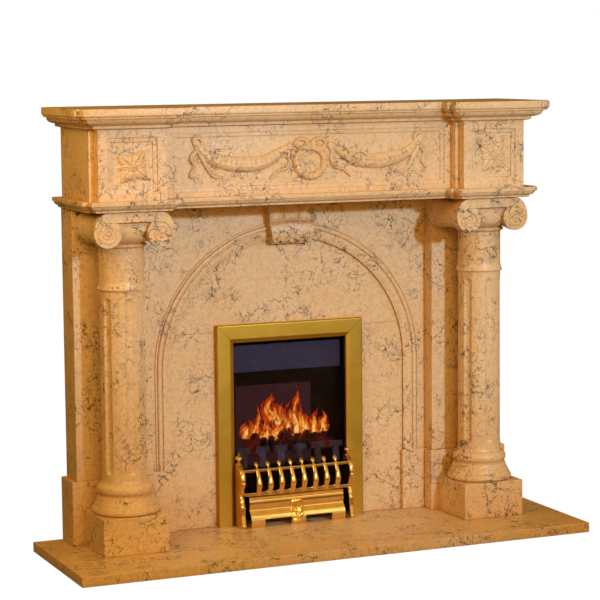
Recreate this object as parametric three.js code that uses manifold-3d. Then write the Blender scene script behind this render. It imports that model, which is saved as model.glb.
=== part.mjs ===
// Fireplace mantel in veined marble: hearth, back panel, pilasters with fluted columns, arched panel,
// carved frieze and moulded shelf, with a slim brass-trimmed fire set into the opening.
// Units are millimetres, +Z is up, and the front faces -Y. "out" is a distance out from the wall.
import * as THREE from 'three';
import Module from 'manifold-3d';

const wasm = await Module();
wasm.setup();

// Driving dimensions
const HEARTH = { width: 1524, depth: 456, thick: 28 };
const STONE_EDGE = 2.5;
const JOINT = 0.3;
const LEVEL = {
  columnPlinthTop: 132,
  baseTop: 216,
  pedestalTop: 207,
  openingTop: 590,
  archSpring: 489,
  shaftTop: 858,
  bedBottom: 961,
  friezeBottom: 991,
  friezeTop: 1182,
  shelfTop: 1238,
};
const PANEL = { halfWidth: 430, thick: 44, openingHalf: 203 };
const ARCH = { radius: 364, front: 50, halfWidth: 436, segments: 26 };
const ARCH_PLINTH = { inner: 358, front: 60 };
const PILASTER = { inner: 436, outer: 660, front: 97 };
const PILASTER_PLINTH = { inner: 430, outer: 676, front: 105 };
const COLUMN = { x: 548, out: 182, radius: 62.5, flutes: 6, fluteWidth: 25, fluteDepth: 5.5 };
const COLUMN_PLINTH = { half: 94.5, front: 276 };
const CAPITAL = { x: 540, voluteX: 75, voluteZ: 905, voluteRadius: 39, front: 284, back: 98, waist: 0.8 };
const FLUTE_RUN = { bottom: 240, top: 726, fade: 10 };
const NECK_RING = { bottom: 746, top: 766, swell: 5.5 };
const FRIEZE = {
  centerOut: 221,
  stepOut: 250,
  blockOut: 281,
  stepInner: 436,
  blockInner: 447,
  blockOuter: 640,
  stepOuter: 656,
};
const SUNK = { depth: 5, slope: 12 };
const CENTER_FIELD = { half: 416, bottom: 1004, top: 1166 };
const BLOCK_FIELD = { inner: 473, outer: 613, bottom: 1010, top: 1160 };
const SWAG = { halfWidth: 19, height: 12, lobes: 7, steps: 21 };
const WREATH = { z: 1076, halfWidth: 50, halfHeight: 38, thick: 13, height: 0.75, steps: 20 };
const FLOWER = { x: 543, z: 1082, leaves: 8, longLeaf: 46, shortLeaf: 32, height: 6 };
const KEYSTONE = {
  topHalf: 75,
  bottomHalf: 62,
  bottom: 842,
  groove: 902,
  front: 84,
  flutes: 3,
  fluteDepth: 6,
  lip: 4,
};
const TRIM = { outer: 228, inner: 176, top: 611, back: 44, front: 61, bevel: 4, lip: 12 };
const GLASS = { back: 46, front: 50 };
const FRET = {
  cheekX: 170,
  cheekThick: 15,
  cheekTop: 212,
  bars: 8,
  barPitch: 35.2,
  barWidth: 9,
  railTop: 193,
  railBottom: 126,
  barLine: [[104, 122], [114, 152], [111, 172], [97, 197]],
  cheekLine: [[112, 28], [112, 40], [105, 90], [94, 122], [111, 158], [108, 185], [82, 212]],
};
const COVER = {
  half: 147,
  cutHeight: 24,
  footWidth: 42,
  bossHalf: 20,
  bossTop: 103,
  wall: 8,
  line: [[110, 28], [112, 44], [108, 58], [101, 70], [98, 84], [97, 100], [92, 112], [86, 117]],
};

const WALL_Y = HEARTH.depth / 2;
const FLOOR = HEARTH.thick;

const MATERIALS = {
  stone: new THREE.MeshStandardMaterial({ color: 0xdab080, roughness: 0.32, metalness: 0 }),
  satinBrass: new THREE.MeshStandardMaterial({ color: 0xb5882a, roughness: 0.38, metalness: 1 }),
  polishedBrass: new THREE.MeshStandardMaterial({ color: 0xd9a640, roughness: 0.12, metalness: 1 }),
  glass: new THREE.MeshStandardMaterial({ color: 0x1a1618, roughness: 0.05, metalness: 0 }),
  blackMetal: new THREE.MeshStandardMaterial({ color: 0x140f10, roughness: 0.7, metalness: 0.2 }),
};

// Points, rings and closed bodies

/** A point given by its place across, out from the wall and up. */
function at(x, out, z) {
  return new THREE.Vector3(x, WALL_Y - out, z);
}

/** Triangles of a flat ring, wound the way the ring runs. */
function capTriangles(ring) {
  const normal = new THREE.Vector3();
  ring.forEach((point, i) => {
    normal.add(new THREE.Vector3().crossVectors(point, ring[(i + 1) % ring.length]));
  });
  normal.normalize();
  const helper = Math.abs(normal.z) < 0.9 ? new THREE.Vector3(0, 0, 1) : new THREE.Vector3(1, 0, 0);
  const right = new THREE.Vector3().crossVectors(helper, normal).normalize();
  const up = new THREE.Vector3().crossVectors(normal, right);
  const flat = ring.map((point) => new THREE.Vector2(point.dot(right), point.dot(up)));
  return THREE.ShapeUtils.triangulateShape(flat, []).map(([a, b, c]) => {
    const turn = flat[b].clone().sub(flat[a]).cross(flat[c].clone().sub(flat[a]));
    return turn > 0 ? [a, b, c] : [a, c, b];
  });
}

/** Six times the volume that an indexed mesh encloses, negative when it is inside out. */
function signedVolume(points, triangles) {
  return triangles.reduce(
    (sum, [a, b, c]) => sum + points[a].dot(new THREE.Vector3().crossVectors(points[b], points[c])),
    0,
  );
}

/** Closed body through equal rings of points: capped at both ends, or joined into a loop. */
function loft(rings, loop = false) {
  const count = rings[0].length;
  const points = rings.flat();
  let triangles = [];
  const spans = loop ? rings.length : rings.length - 1;
  for (let r = 0; r < spans; r += 1) {
    const next = (r + 1) % rings.length;
    for (let i = 0; i < count; i += 1) {
      const j = (i + 1) % count;
      const a = r * count + i;
      const b = r * count + j;
      triangles.push([a, b, next * count + j], [a, next * count + j, next * count + i]);
    }
  }
  if (!loop) {
    const last = (rings.length - 1) * count;
    capTriangles(rings[0]).forEach(([a, b, c]) => triangles.push([c, b, a]));
    capTriangles(rings.at(-1)).forEach(([a, b, c]) => triangles.push([last + a, last + b, last + c]));
  }
  if (signedVolume(points, triangles) < 0) {
    triangles = triangles.map(([a, b, c]) => [c, b, a]);
  }
  const geometry = new THREE.BufferGeometry().setFromPoints(points);
  geometry.setIndex(triangles.flat());
  return geometry;
}

/** The solid that a closed indexed geometry bounds, ready to join or cut. */
function solidOf(geometry) {
  const vertProperties = Float32Array.from(geometry.getAttribute('position').array);
  const triVerts = Uint32Array.from(geometry.getIndex().array);
  return new wasm.Manifold(new wasm.Mesh({ numProp: 3, vertProperties, triVerts }));
}

/** Geometry of a solid. */
function geometryOf(solid) {
  const mesh = solid.getMesh();
  const geometry = new THREE.BufferGeometry();
  geometry.setAttribute('position', new THREE.BufferAttribute(Float32Array.from(mesh.vertProperties), 3));
  geometry.setIndex(Array.from(mesh.triVerts));
  return geometry;
}

/** One body made of several overlapping ones. */
function join(geometries) {
  return geometryOf(geometries.map(solidOf).reduce((sum, solid) => sum.add(solid)));
}

/** A body with others cut away from it. */
function cut(geometry, tools) {
  return geometryOf(tools.map(solidOf).reduce((rest, tool) => rest.subtract(tool), solidOf(geometry)));
}

/** Slab with small chamfers round its top and bottom edges. */
function block(x0, x1, out0, out1, z0, z1, edge = STONE_EDGE) {
  const rectangle = (inset, z) => [
    at(x0 + inset, out0 + inset, z),
    at(x1 - inset, out0 + inset, z),
    at(x1 - inset, out1 - inset, z),
    at(x0 + inset, out1 - inset, z),
  ];
  return loft([rectangle(edge, z0), rectangle(0, z0 + edge), rectangle(0, z1 - edge), rectangle(edge, z1)]);
}

/** Slab on one side of the middle, its inner and outer faces given by their distance from it. */
function sideBlock(side, inner, outer, out0, out1, z0, z1) {
  const [x0, x1] = side < 0 ? [-outer, -inner] : [inner, outer];
  return block(x0, x1, out0, out1, z0, z1);
}

/** Turned body about a vertical axis, from radius and height pairs. */
function turned(profile, x, out, sides) {
  const ring = ([radius, z]) => Array.from({ length: sides }, (unused, i) => {
    const angle = (2 * Math.PI * i) / sides;
    return at(x + radius * Math.cos(angle), out + radius * Math.sin(angle), z);
  });
  return loft(profile.map(ring));
}

/** Raised strand that follows a curve on a face: half of it shows, half sits in the stone. */
function strand(curve, faceOut, steps, sides, halfWidth, height) {
  const rings = [];
  for (let i = 0; i <= steps; i += 1) {
    const t = i / steps;
    const center = curve.getPoint(t);
    const along = curve.getTangent(t);
    rings.push(Array.from({ length: sides }, (unused, k) => {
      const angle = (2 * Math.PI * k) / sides;
      const across = halfWidth(t) * Math.cos(angle);
      const lift = height(t) * Math.sin(angle);
      return at(center.x - along.y * across, faceOut + lift, center.y + along.x * across);
    }));
  }
  return loft(rings);
}

/** Smooth curve on a face through [across, up] points. */
function faceCurve(points) {
  return new THREE.SplineCurve(points.map(([x, z]) => new THREE.Vector2(x, z)));
}

// Mouldings that follow the stepped plan of the frieze

/** Plan of the frieze grown by a moulding's projection, from the left wall corner round the front. */
function steppedPlan(projection, z) {
  const half = [
    [FRIEZE.stepInner - projection, FRIEZE.centerOut + projection],
    [FRIEZE.stepInner - projection, FRIEZE.stepOut + projection],
    [FRIEZE.blockInner - projection, FRIEZE.stepOut + projection],
    [FRIEZE.blockInner - projection, FRIEZE.blockOut + projection],
    [FRIEZE.blockOuter + projection, FRIEZE.blockOut + projection],
    [FRIEZE.blockOuter + projection, FRIEZE.stepOut + projection],
    [FRIEZE.stepOuter + projection, FRIEZE.stepOut + projection],
    [FRIEZE.stepOuter + projection, 0],
  ];
  const left = half.map(([x, out]) => [-x, out]).reverse();
  return [...left, ...half].map(([x, out]) => at(x, out, z));
}

/** Moulding from [projection, drop below its top] pairs. */
function steppedMoulding(profile, topZ) {
  return loft(profile.map(([projection, drop]) => steppedPlan(projection, topZ - drop)));
}

function shelf() {
  const fascia = [[51, 0], [54, 3], [54, 17], [52.5, 20.5], [49, 22.5]];
  const neck = [[49, 26.5], [41, 27.5]];
  const ovolo = [[40, 32], [36.5, 38], [29, 42.5], [20, 44.5]];
  const fillet = [[16, 46], [16, 53], [2, LEVEL.shelfTop - LEVEL.friezeTop]];
  return steppedMoulding([...fascia, ...neck, ...ovolo, ...fillet], LEVEL.shelfTop);
}

function lowerMoulding() {
  const fascia = [[27.5, 0], [29, 1.5], [29, 10.5], [24, 11.5]];
  const ovolo = [[22, 17], [15, 22.5], [12, 24]];
  const fillet = [[12, 28.5], [3, LEVEL.friezeBottom - LEVEL.bedBottom]];
  return steppedMoulding([...fascia, ...ovolo, ...fillet], LEVEL.friezeBottom);
}

// Hearth, back panel and the plain blocks

function hearth() {
  return block(-HEARTH.width / 2, HEARTH.width / 2, 0, HEARTH.depth, 0, HEARTH.thick, 3);
}

function backPanelSide(side) {
  return sideBlock(side, PANEL.openingHalf, PANEL.halfWidth, 0, PANEL.thick, FLOOR, LEVEL.openingTop);
}

function backPanelHeader() {
  return block(-PANEL.halfWidth, PANEL.halfWidth, 0, PANEL.thick, LEVEL.openingTop, LEVEL.bedBottom);
}

function archPlinth(side) {
  const { inner, front } = ARCH_PLINTH;
  return sideBlock(side, inner, PILASTER_PLINTH.inner, PANEL.thick, front, FLOOR, LEVEL.pedestalTop);
}

function pilaster(side) {
  const { inner, outer, front } = PILASTER;
  return sideBlock(side, inner, outer, 0, front, LEVEL.pedestalTop, LEVEL.bedBottom);
}

function pilasterPlinth(side) {
  const { inner, outer, front } = PILASTER_PLINTH;
  return sideBlock(side, inner, outer, 0, front, FLOOR, LEVEL.pedestalTop);
}

function columnPlinth(side) {
  const inner = COLUMN.x - COLUMN_PLINTH.half;
  const outer = COLUMN.x + COLUMN_PLINTH.half;
  const back = PILASTER_PLINTH.front;
  return sideBlock(side, inner, outer, back, COLUMN_PLINTH.front, FLOOR, LEVEL.columnPlinthTop);
}

// Columns

/** Turned base, flattened behind where it stands against the pilaster's plinth. */
function columnBase(side) {
  const z = LEVEL.columnPlinthTop;
  const lower = [[84, z], [92, z + 5], [94, z + 15], [91, z + 30], [82, z + 45], [77, z + 48]];
  const upper = [[71, z + 50], [71, z + 54], [75, z + 60], [76, z + 68], [74, z + 77], [66, LEVEL.baseTop]];
  const x = side * COLUMN.x;
  const reach = 2 * COLUMN_PLINTH.half;
  const behind = block(x - reach, x + reach, 0, PILASTER_PLINTH.front + JOINT, z - reach, z + reach);
  return cut(turned([...lower, ...upper], x, COLUMN.out, 24), [behind]);
}

/** Outline of the shaft at one height: round, with shallow flutes of the given depth. */
function shaftRing(x, radius, fluteDepth, z) {
  const pitch = (2 * Math.PI) / COLUMN.flutes;
  const halfFlute = Math.asin(COLUMN.fluteWidth / 2 / COLUMN.radius);
  const stops = [-1, -0.4, 0.4, 1];
  const ring = [];
  for (let k = 0; k < COLUMN.flutes; k += 1) {
    const middle = k * pitch;
    stops.forEach((stop) => ring.push([middle + stop * halfFlute, radius - fluteDepth * (1 - stop * stop)]));
    ring.push([middle + pitch / 2, radius]);
  }
  return ring.map(([angle, r]) => at(x + r * Math.sin(angle), COLUMN.out + r * Math.cos(angle), z));
}

/** Fluted shaft with its necking ring and plain neck, turned and cut from one stone. */
function columnShaft(side) {
  const x = side * COLUMN.x;
  const { radius, fluteDepth } = COLUMN;
  const { bottom, top, fade } = FLUTE_RUN;
  const upper = radius - 1;
  const swollen = radius + NECK_RING.swell;
  const foot = [[radius + 3.5, 0, LEVEL.baseTop], [radius, 0, LEVEL.baseTop + 12]];
  const fluteFoot = [[radius, 0, bottom], [radius, fluteDepth, bottom + fade]];
  const fluteHead = [[upper, fluteDepth, top - fade], [upper, 0, top]];
  const ringFoot = [[upper, 0, NECK_RING.bottom], [swollen, 0, NECK_RING.bottom + 5]];
  const ringHead = [[swollen, 0, NECK_RING.top - 5], [upper, 0, NECK_RING.top]];
  const neck = [[upper, 0, LEVEL.shaftTop]];
  const stations = [...foot, ...fluteFoot, ...fluteHead, ...ringFoot, ...ringHead, ...neck];
  return loft(stations.map(([r, depth, z]) => shaftRing(x, r, depth, z)));
}

/** Outline of one scroll about its own middle: round below, drawn up to the bed moulding above. */
function scrollRing(x, outward, out, scale, sides) {
  const rise = LEVEL.bedBottom - CAPITAL.voluteZ - JOINT;
  return Array.from({ length: sides }, (unused, i) => {
    const angle = (2 * Math.PI * i) / sides;
    const across = Math.cos(angle) * CAPITAL.voluteRadius * scale;
    const up = Math.sin(angle) * (Math.sin(angle) > 0 ? rise : CAPITAL.voluteRadius) * scale;
    return at(x + outward * across, out, CAPITAL.voluteZ + up);
  });
}

/** Rolled side of the capital, waisted between its two faces. */
function bolster(x, outward) {
  const { front, back, waist } = CAPITAL;
  const stations = [[0, 1], [0.08, 1], [0.16, 0.92], [0.5, waist], [0.84, 0.92], [0.92, 1], [1, 1]];
  return loft(stations.map(([t, scale]) => scrollRing(x, outward, back + t * (front - back), scale, 14)));
}

/** Raised spiral on the front of one scroll, starting as the lower edge of the channel. */
function voluteSpiral(x, outward) {
  const turns = 1.4;
  const steps = 14;
  const start = Math.PI / 2;
  const points = Array.from({ length: steps + 1 }, (unused, i) => {
    const t = i / steps;
    const angle = start - outward * 2 * Math.PI * turns * t;
    const r = CAPITAL.voluteRadius * (0.78 - 0.62 * t);
    return [x + r * Math.cos(angle), CAPITAL.voluteZ + r * Math.sin(angle)];
  });
  return strand(faceCurve(points), CAPITAL.front, steps, 3, () => 3.6, () => 3);
}

/** Capital with two scrolls, the channel between them, and the round echinus below. */
function capital(side) {
  const x = side * CAPITAL.x;
  const { voluteX, voluteZ, front, back, voluteRadius } = CAPITAL;
  const top = LEVEL.bedBottom - JOINT;
  const channel = block(x - voluteX, x + voluteX, back + 6, front - 5, voluteZ + 4, top, 1);
  const band = block(x - voluteX, x + voluteX, back, front, voluteZ + voluteRadius * 0.72, top, 1);
  const z = LEVEL.shaftTop;
  const echinus = [[62, z], [67, z + 3], [67, z + 9], [63, z + 12], [67, z + 20], [77, z + 34], [80, z + 52]];
  const spirals = [-1, 1].map((outward) => voluteSpiral(x + outward * voluteX, outward));
  const bolsters = [-1, 1].map((outward) => bolster(x + outward * voluteX, outward));
  return join([band, channel, turned(echinus, side * COLUMN.x, COLUMN.out, 18), ...bolsters, ...spirals]);
}

// Arched panel and keystone

/** Points of the arched opening grown outwards by an offset, from the left foot to the right. */
function archPath(offset, z0) {
  const r = ARCH.radius + offset;
  const curve = Array.from({ length: ARCH.segments + 1 }, (unused, i) => {
    const angle = Math.PI * (1 - i / ARCH.segments);
    return [r * Math.cos(angle), LEVEL.archSpring + r * Math.sin(angle)];
  });
  return [[-r, z0], ...curve, [r, z0]];
}

/** Slab with the arched opening and a raised moulding round the opening. */
function archPanel() {
  const foot = LEVEL.pedestalTop;
  const top = LEVEL.bedBottom;
  const opening = archPath(0, foot);
  const half = ARCH.halfWidth;
  const outline = [...opening, [half, foot], [half, top], [-half, top], [-half, foot]];
  const face = (out) => outline.map(([x, z]) => at(x, out, z));
  const slab = loft([face(PANEL.thick), face(ARCH.front)]);
  const band = [[0, -2], [0, 3], [4, 7], [30, 7], [33, 4]];
  const bead = [[36, 6.5], [43, 5], [47, 0], [47, -2]];
  const section = [...band, ...bead];
  const paths = section.map(([offset]) => archPath(offset, foot));
  const rings = opening.map((unused, i) => section.map(([, rise], k) => {
    const [x, z] = paths[k][i];
    return at(x, ARCH.front + rise, z);
  }));
  const seatHalf = KEYSTONE.topHalf + JOINT;
  const seat = block(-seatHalf, seatHalf, ARCH.front, 2 * ARCH.front, KEYSTONE.bottom - 20, top + 20, 0.01);
  return cut(join([slab, loft(rings)]), [seat]);
}

/** Face of the keystone: fluted above, a plain roll below, parted by a groove that follows the arch. */
function keystoneOut(share, z) {
  const { front, flutes, fluteDepth, bottom } = KEYSTONE;
  const groove = KEYSTONE.groove - 6 * share * share;
  const height = z - groove;
  if (Math.abs(height) < 2) {
    return front - 4;
  }
  if (height > 0) {
    const flute = Math.abs(Math.sin((Math.PI * flutes * (share + 1)) / 2));
    return front - fluteDepth * flute * Math.min(1, height / (2 * fluteDepth));
  }
  const drop = Math.min(1, -height / (groove - bottom));
  return front + 6 * Math.sin(Math.PI * drop);
}

/** Keystone set on the panel over the crown of the arch, with a lip that reaches in under the arch. */
function keystone() {
  const columns = 12;
  const levels = [0, 0.1, 0.25, 0.4, 0.484, 0.5, 0.516, 0.56, 0.62, 1];
  const { topHalf, bottomHalf, bottom, front, lip } = KEYSTONE;
  const top = LEVEL.bedBottom - JOINT;
  const rings = levels.map((level) => {
    const z = bottom + level * (top - bottom);
    const half = bottomHalf + level * (topHalf - bottomHalf);
    const face = Array.from({ length: columns + 1 }, (unused, i) => {
      const share = 1 - (2 * i) / columns;
      return at(share * half, keystoneOut(share, z), z);
    });
    return [at(half, ARCH.front, z), ...face, at(-half, ARCH.front, z)];
  });
  const lipHalf = bottomHalf - 2;
  const foot = block(-lipHalf, lipHalf, PANEL.thick + JOINT, front - 14, bottom - lip, bottom + lip, 1);
  return join([loft(rings), foot]);
}

// Carved frieze

/** Sunk field with sloping sides, to be cut out of a face. */
function sunkField(x0, x1, z0, z1, faceOut) {
  const rectangle = (inset, out) => [
    at(x0 + inset, out, z0 + inset),
    at(x1 - inset, out, z0 + inset),
    at(x1 - inset, out, z1 - inset),
    at(x0 + inset, out, z1 - inset),
  ];
  const clear = 10;
  const widen = -SUNK.slope * (clear / SUNK.depth);
  return loft([rectangle(SUNK.slope, faceOut - SUNK.depth), rectangle(widen, faceOut + clear)]);
}

/** Hanging swag of fruit and leaves, fat in the middle and lobed along its length. */
function swag(side, fieldOut) {
  const line = [[336, 1124], [290, 1083], [232, 1066], [172, 1067], [112, 1086], [72, 1114]];
  const curve = faceCurve(line.map(([x, z]) => [side * x, z]));
  const lobes = (t) => 1 + 0.14 * Math.cos(2 * Math.PI * SWAG.lobes * t);
  const swell = (t) => (0.3 + 0.7 * Math.sin(Math.PI * t) ** 0.7) * lobes(t);
  const halfWidth = (t) => SWAG.halfWidth * swell(t);
  const height = (t) => SWAG.height * swell(t);
  return strand(curve, fieldOut, SWAG.steps, 6, halfWidth, height);
}

/** Leafy wreath with its bow, over the middle of the frieze. */
function wreath(fieldOut) {
  const sides = 6;
  const { steps, halfWidth, halfHeight, height } = WREATH;
  const rings = Array.from({ length: steps }, (unused, i) => {
    const angle = (2 * Math.PI * i) / steps;
    const thick = WREATH.thick * (1 + 0.16 * (i % 2));
    return Array.from({ length: sides }, (unusedToo, k) => {
      const turn = (2 * Math.PI * k) / sides;
      const r = thick * Math.cos(turn);
      const x = (halfWidth + r) * Math.cos(angle);
      const z = WREATH.z + (halfHeight + 0.85 * r) * Math.sin(angle);
      return at(x, fieldOut + height * thick * Math.sin(turn), z);
    });
  });
  return loft(rings, true);
}

/** Ribbon that tapers to both ends. */
function ribbon(points, fieldOut, halfWidth) {
  const taper = (t) => 0.35 + 0.65 * Math.sin(Math.PI * Math.min(1, 0.15 + 0.85 * t));
  return strand(faceCurve(points), fieldOut, 7, 4, (t) => halfWidth * taper(t), () => 4);
}

/** Ribbons on one half of the frieze: the bow's loop, its tail, and the swag's knot and tails. */
function ribbons(side, fieldOut) {
  const runs = [
    [[2, 1118], [16, 1138], [34, 1140], [40, 1126], [22, 1116]],
    [[62, 1100], [86, 1076], [84, 1052], [104, 1046], [124, 1030]],
    [[336, 1116], [352, 1136], [334, 1146], [322, 1128], [340, 1112]],
    [[338, 1114], [318, 1086], [306, 1062], [292, 1040], [262, 1036]],
    [[342, 1112], [352, 1084], [346, 1062], [360, 1044]],
  ];
  return runs.map((run) => ribbon(run.map(([x, z]) => [side * x, z]), fieldOut, 6));
}

/** Middle of the frieze: a sunk field carved with two swags, a wreath and ribbons. */
function friezeCenter() {
  const face = FRIEZE.centerOut;
  const stone = block(-FRIEZE.stepInner, FRIEZE.stepInner, 0, face, LEVEL.friezeBottom, LEVEL.friezeTop, 1);
  const { half, bottom, top } = CENTER_FIELD;
  const ground = cut(stone, [sunkField(-half, half, bottom, top, face)]);
  const field = face - SUNK.depth;
  const carving = [-1, 1].flatMap((side) => [swag(side, field), ...ribbons(side, field)]);
  return join([ground, wreath(field), ...carving]);
}

/** Leaf that springs from a point on a face, broad in the middle. */
function leaf(x, z, angle, length, halfWidth, faceOut) {
  const end = [x + length * Math.cos(angle), z + length * Math.sin(angle)];
  const curve = faceCurve([[x, z], end]);
  const swell = (t) => 0.15 + 0.85 * Math.sin(Math.PI * (0.08 + 0.86 * t));
  return strand(curve, faceOut, 4, 4, (t) => halfWidth * swell(t), (t) => FLOWER.height * swell(t));
}

/** End block of the frieze: stepped forward twice, with a flower in a sunk field. */
function friezeBlock(side) {
  const { stepInner, stepOuter, stepOut, blockInner, blockOuter, blockOut } = FRIEZE;
  const plan = [
    [stepInner, 0], [stepInner, stepOut], [blockInner, stepOut], [blockInner, blockOut],
    [blockOuter, blockOut], [blockOuter, stepOut], [stepOuter, stepOut], [stepOuter, 0],
  ];
  const level = (z) => plan.map(([x, out]) => at(side * x, out, z));
  const stone = loft([level(LEVEL.friezeBottom), level(LEVEL.friezeTop)]);
  const { inner, outer, bottom, top } = BLOCK_FIELD;
  const [x0, x1] = side < 0 ? [-outer, -inner] : [inner, outer];
  const ground = cut(stone, [sunkField(x0, x1, bottom, top, blockOut)]);
  const field = blockOut - SUNK.depth;
  const petals = Array.from({ length: FLOWER.leaves }, (unused, i) => {
    const angle = (2 * Math.PI * i) / FLOWER.leaves;
    const length = i % 2 ? FLOWER.longLeaf : FLOWER.shortLeaf;
    return leaf(side * FLOWER.x, FLOWER.z, angle, length, 0.26 * length, field);
  });
  return join([ground, ...petals]);
}

// Fire set into the opening

/** Brass bar of the trim, bevelled outside and lipped inside, between two mitred ends. */
function trimBar(corners) {
  const { back, front, bevel, lip, outer, inner } = TRIM;
  const width = outer - inner;
  const outside = [[0, back], [0, front - bevel], [bevel, front]];
  const inside = [[width - lip, front], [width, front - 8], [width, back]];
  const section = [...outside, ...inside];
  return loft(corners.map((corner) => section.map(([share, out]) => corner(share, out))));
}

function trimSide(side) {
  const foot = (share, out) => at(side * (TRIM.outer - share), out, FLOOR);
  const miter = (share, out) => at(side * (TRIM.outer - share - JOINT), out, TRIM.top - share - JOINT);
  return trimBar([foot, miter]);
}

function trimTop() {
  const miter = (side) => (share, out) => at(side * (TRIM.outer - share - 3 * JOINT), out, TRIM.top - share);
  return trimBar([miter(-1), miter(1)]);
}

function fireGlass() {
  const half = TRIM.inner - JOINT;
  const top = TRIM.top - (TRIM.outer - TRIM.inner) - JOINT;
  return block(-half, half, GLASS.back, GLASS.front, FLOOR + JOINT, top, 0.5);
}

function fireBack() {
  const half = PANEL.openingHalf - JOINT;
  return block(-half, half, 0, 4, FLOOR + JOINT, LEVEL.openingTop - JOINT, 0.5);
}

/** How far out a line of [out, height] points runs at a height between its ends. */
function outAt(line, z) {
  const upper = Math.max(1, line.findIndex((point) => point[1] >= z));
  const [out0, z0] = line[upper - 1];
  const [out1, z1] = line[upper];
  return THREE.MathUtils.mapLinear(z, z0, z1, out0, out1);
}

/** Cheek at one end of the fret: a curved plate with a ball on top. */
function fretCheek(side) {
  const { cheekX, cheekThick, cheekTop, cheekLine } = FRET;
  const outline = [[TRIM.front + 2, FLOOR], ...cheekLine, [TRIM.front + 4, cheekTop]];
  const x = side * cheekX;
  const face = (offset) => outline.map(([out, z]) => at(x + offset, out, z));
  const ball = [[3, -4], [6, 6], [10, 14], [9, 24], [2, 30]];
  const profile = ball.map(([radius, rise]) => [radius, cheekTop + rise]);
  return [loft([face(-cheekThick / 2), face(cheekThick / 2)]), turned(profile, x, TRIM.front + 14, 6)];
}

/** One bar of the fret: a bellied strip that ends in a drop-shaped finial. */
function fretBar(x) {
  const { barWidth, barLine, railTop } = FRET;
  const strip = barLine.map(([out, z]) => [out, z, barWidth / 2]);
  const finial = [[94, 6, 2.5], [91, 12, 6], [87, 20, 4.5], [85, 24.5, 1]];
  const stations = [...strip, ...finial.map(([out, rise, half]) => [out, railTop + rise, half])];
  return loft(stations.map(([out, z, half]) => {
    const deep = 0.8 * half;
    return [at(x - half, out, z), at(x, out + deep, z), at(x + half, out, z), at(x, out - deep, z)];
  }));
}

/** Fret in front of the fire: two cheeks, two rails and a row of bars, cast as one. */
function fret() {
  const reach = FRET.cheekX - FRET.cheekThick / 2 + 2;
  const rail = (z, height, depth) => {
    const front = outAt(FRET.barLine, z) + 3;
    return block(-reach, reach, front - depth, front, z - height / 2, z + height / 2, 1);
  };
  const firstBar = (-FRET.barPitch * (FRET.bars - 1)) / 2;
  const bars = Array.from({ length: FRET.bars }, (unused, i) => fretBar(firstBar + i * FRET.barPitch));
  const rails = [rail(FRET.railTop, 7, 7), rail(FRET.railBottom, 9, 16)];
  return join([...rails, ...[-1, 1].flatMap(fretCheek), ...bars]);
}

/** Ash-pan cover: a bowed plate on end feet and a middle boss, arched between them. */
function ashpanCover() {
  const { half, line, wall, footWidth, cutHeight, bossHalf, bossTop } = COVER;
  const inside = line.map(([out, z]) => [out - wall, z]).reverse();
  const face = (x) => [...line, ...inside].map(([out, z]) => at(x, out, z));
  const plate = loft([face(-half), face(half)]);
  const archTop = FLOOR + cutHeight;
  const archOuter = half - footWidth;
  const arches = [-1, 1].map((side) => sideBlock(side, bossHalf, archOuter, 0, HEARTH.depth, 0, archTop));
  const bossFoot = [[0, 0.9, 5], [0.13, 0.95, 4], [0.29, 0.62, 3]];
  const bossLeaf = [[0.45, 0.8, 6], [0.64, 1, 8], [0.83, 0.95, 7], [1, 0.6, 3]];
  const boss = loft([...bossFoot, ...bossLeaf].map(([rise, width, lift]) => {
    const z = FLOOR + rise * (bossTop - FLOOR);
    const side = bossHalf * width;
    const back = outAt(line, z) - wall / 2;
    const front = [1, 0.5, 0, -0.5, -1].map((share) => {
      const out = outAt(line, z) + lift * (1 - 0.6 * share * share);
      return at(share * side, out, z);
    });
    return [at(side, back, z), ...front, at(-side, back, z)];
  }));
  return join([cut(plate, arches), boss]);
}

// The whole mantel

const mantel = new THREE.Group();

/** Adds one named piece. */
function add(name, geometry, material) {
  geometry.computeVertexNormals();
  const mesh = new THREE.Mesh(geometry, material.clone());
  mesh.name = name;
  mantel.add(mesh);
}

const SIDES = [['left', -1], ['right', 1]];
const PAIRED_STONES = {
  back_panel: backPanelSide,
  arch_plinth: archPlinth,
  pilaster: pilaster,
  pilaster_plinth: pilasterPlinth,
  column_plinth: columnPlinth,
  column_base: columnBase,
  column_shaft: columnShaft,
  capital: capital,
  frieze_block: friezeBlock,
};

add('hearth', hearth(), MATERIALS.stone);
add('back_panel_header', backPanelHeader(), MATERIALS.stone);
add('arch_panel', archPanel(), MATERIALS.stone);
add('keystone', keystone(), MATERIALS.stone);
add('lower_moulding', lowerMoulding(), MATERIALS.stone);
add('frieze_center', friezeCenter(), MATERIALS.stone);
add('shelf', shelf(), MATERIALS.stone);
Object.entries(PAIRED_STONES).forEach(([name, make]) => {
  SIDES.forEach(([label, side]) => add(`${name}_${label}`, make(side), MATERIALS.stone));
});
SIDES.forEach(([label, side]) => add(`trim_${label}`, trimSide(side), MATERIALS.satinBrass));
add('trim_top', trimTop(), MATERIALS.satinBrass);
add('fire_glass', fireGlass(), MATERIALS.glass);
add('fire_back', fireBack(), MATERIALS.blackMetal);
add('fret', fret(), MATERIALS.polishedBrass);
add('ashpan_cover', ashpanCover(), MATERIALS.polishedBrass);

export default mantel;
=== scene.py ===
"""Looks of a marble fireplace mantel with fluted columns, a carved frieze and a slim brass-trimmed fire.

Sizes are in millimetres, and "out" is a distance out from the wall, as in the part's own drawings.
"""

import logging
import math
from collections.abc import Callable, Sequence
from dataclasses import dataclass
from enum import Enum
from typing import Any

import bmesh
import bpy
import numpy as np
from mathutils import Matrix, Vector


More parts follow.
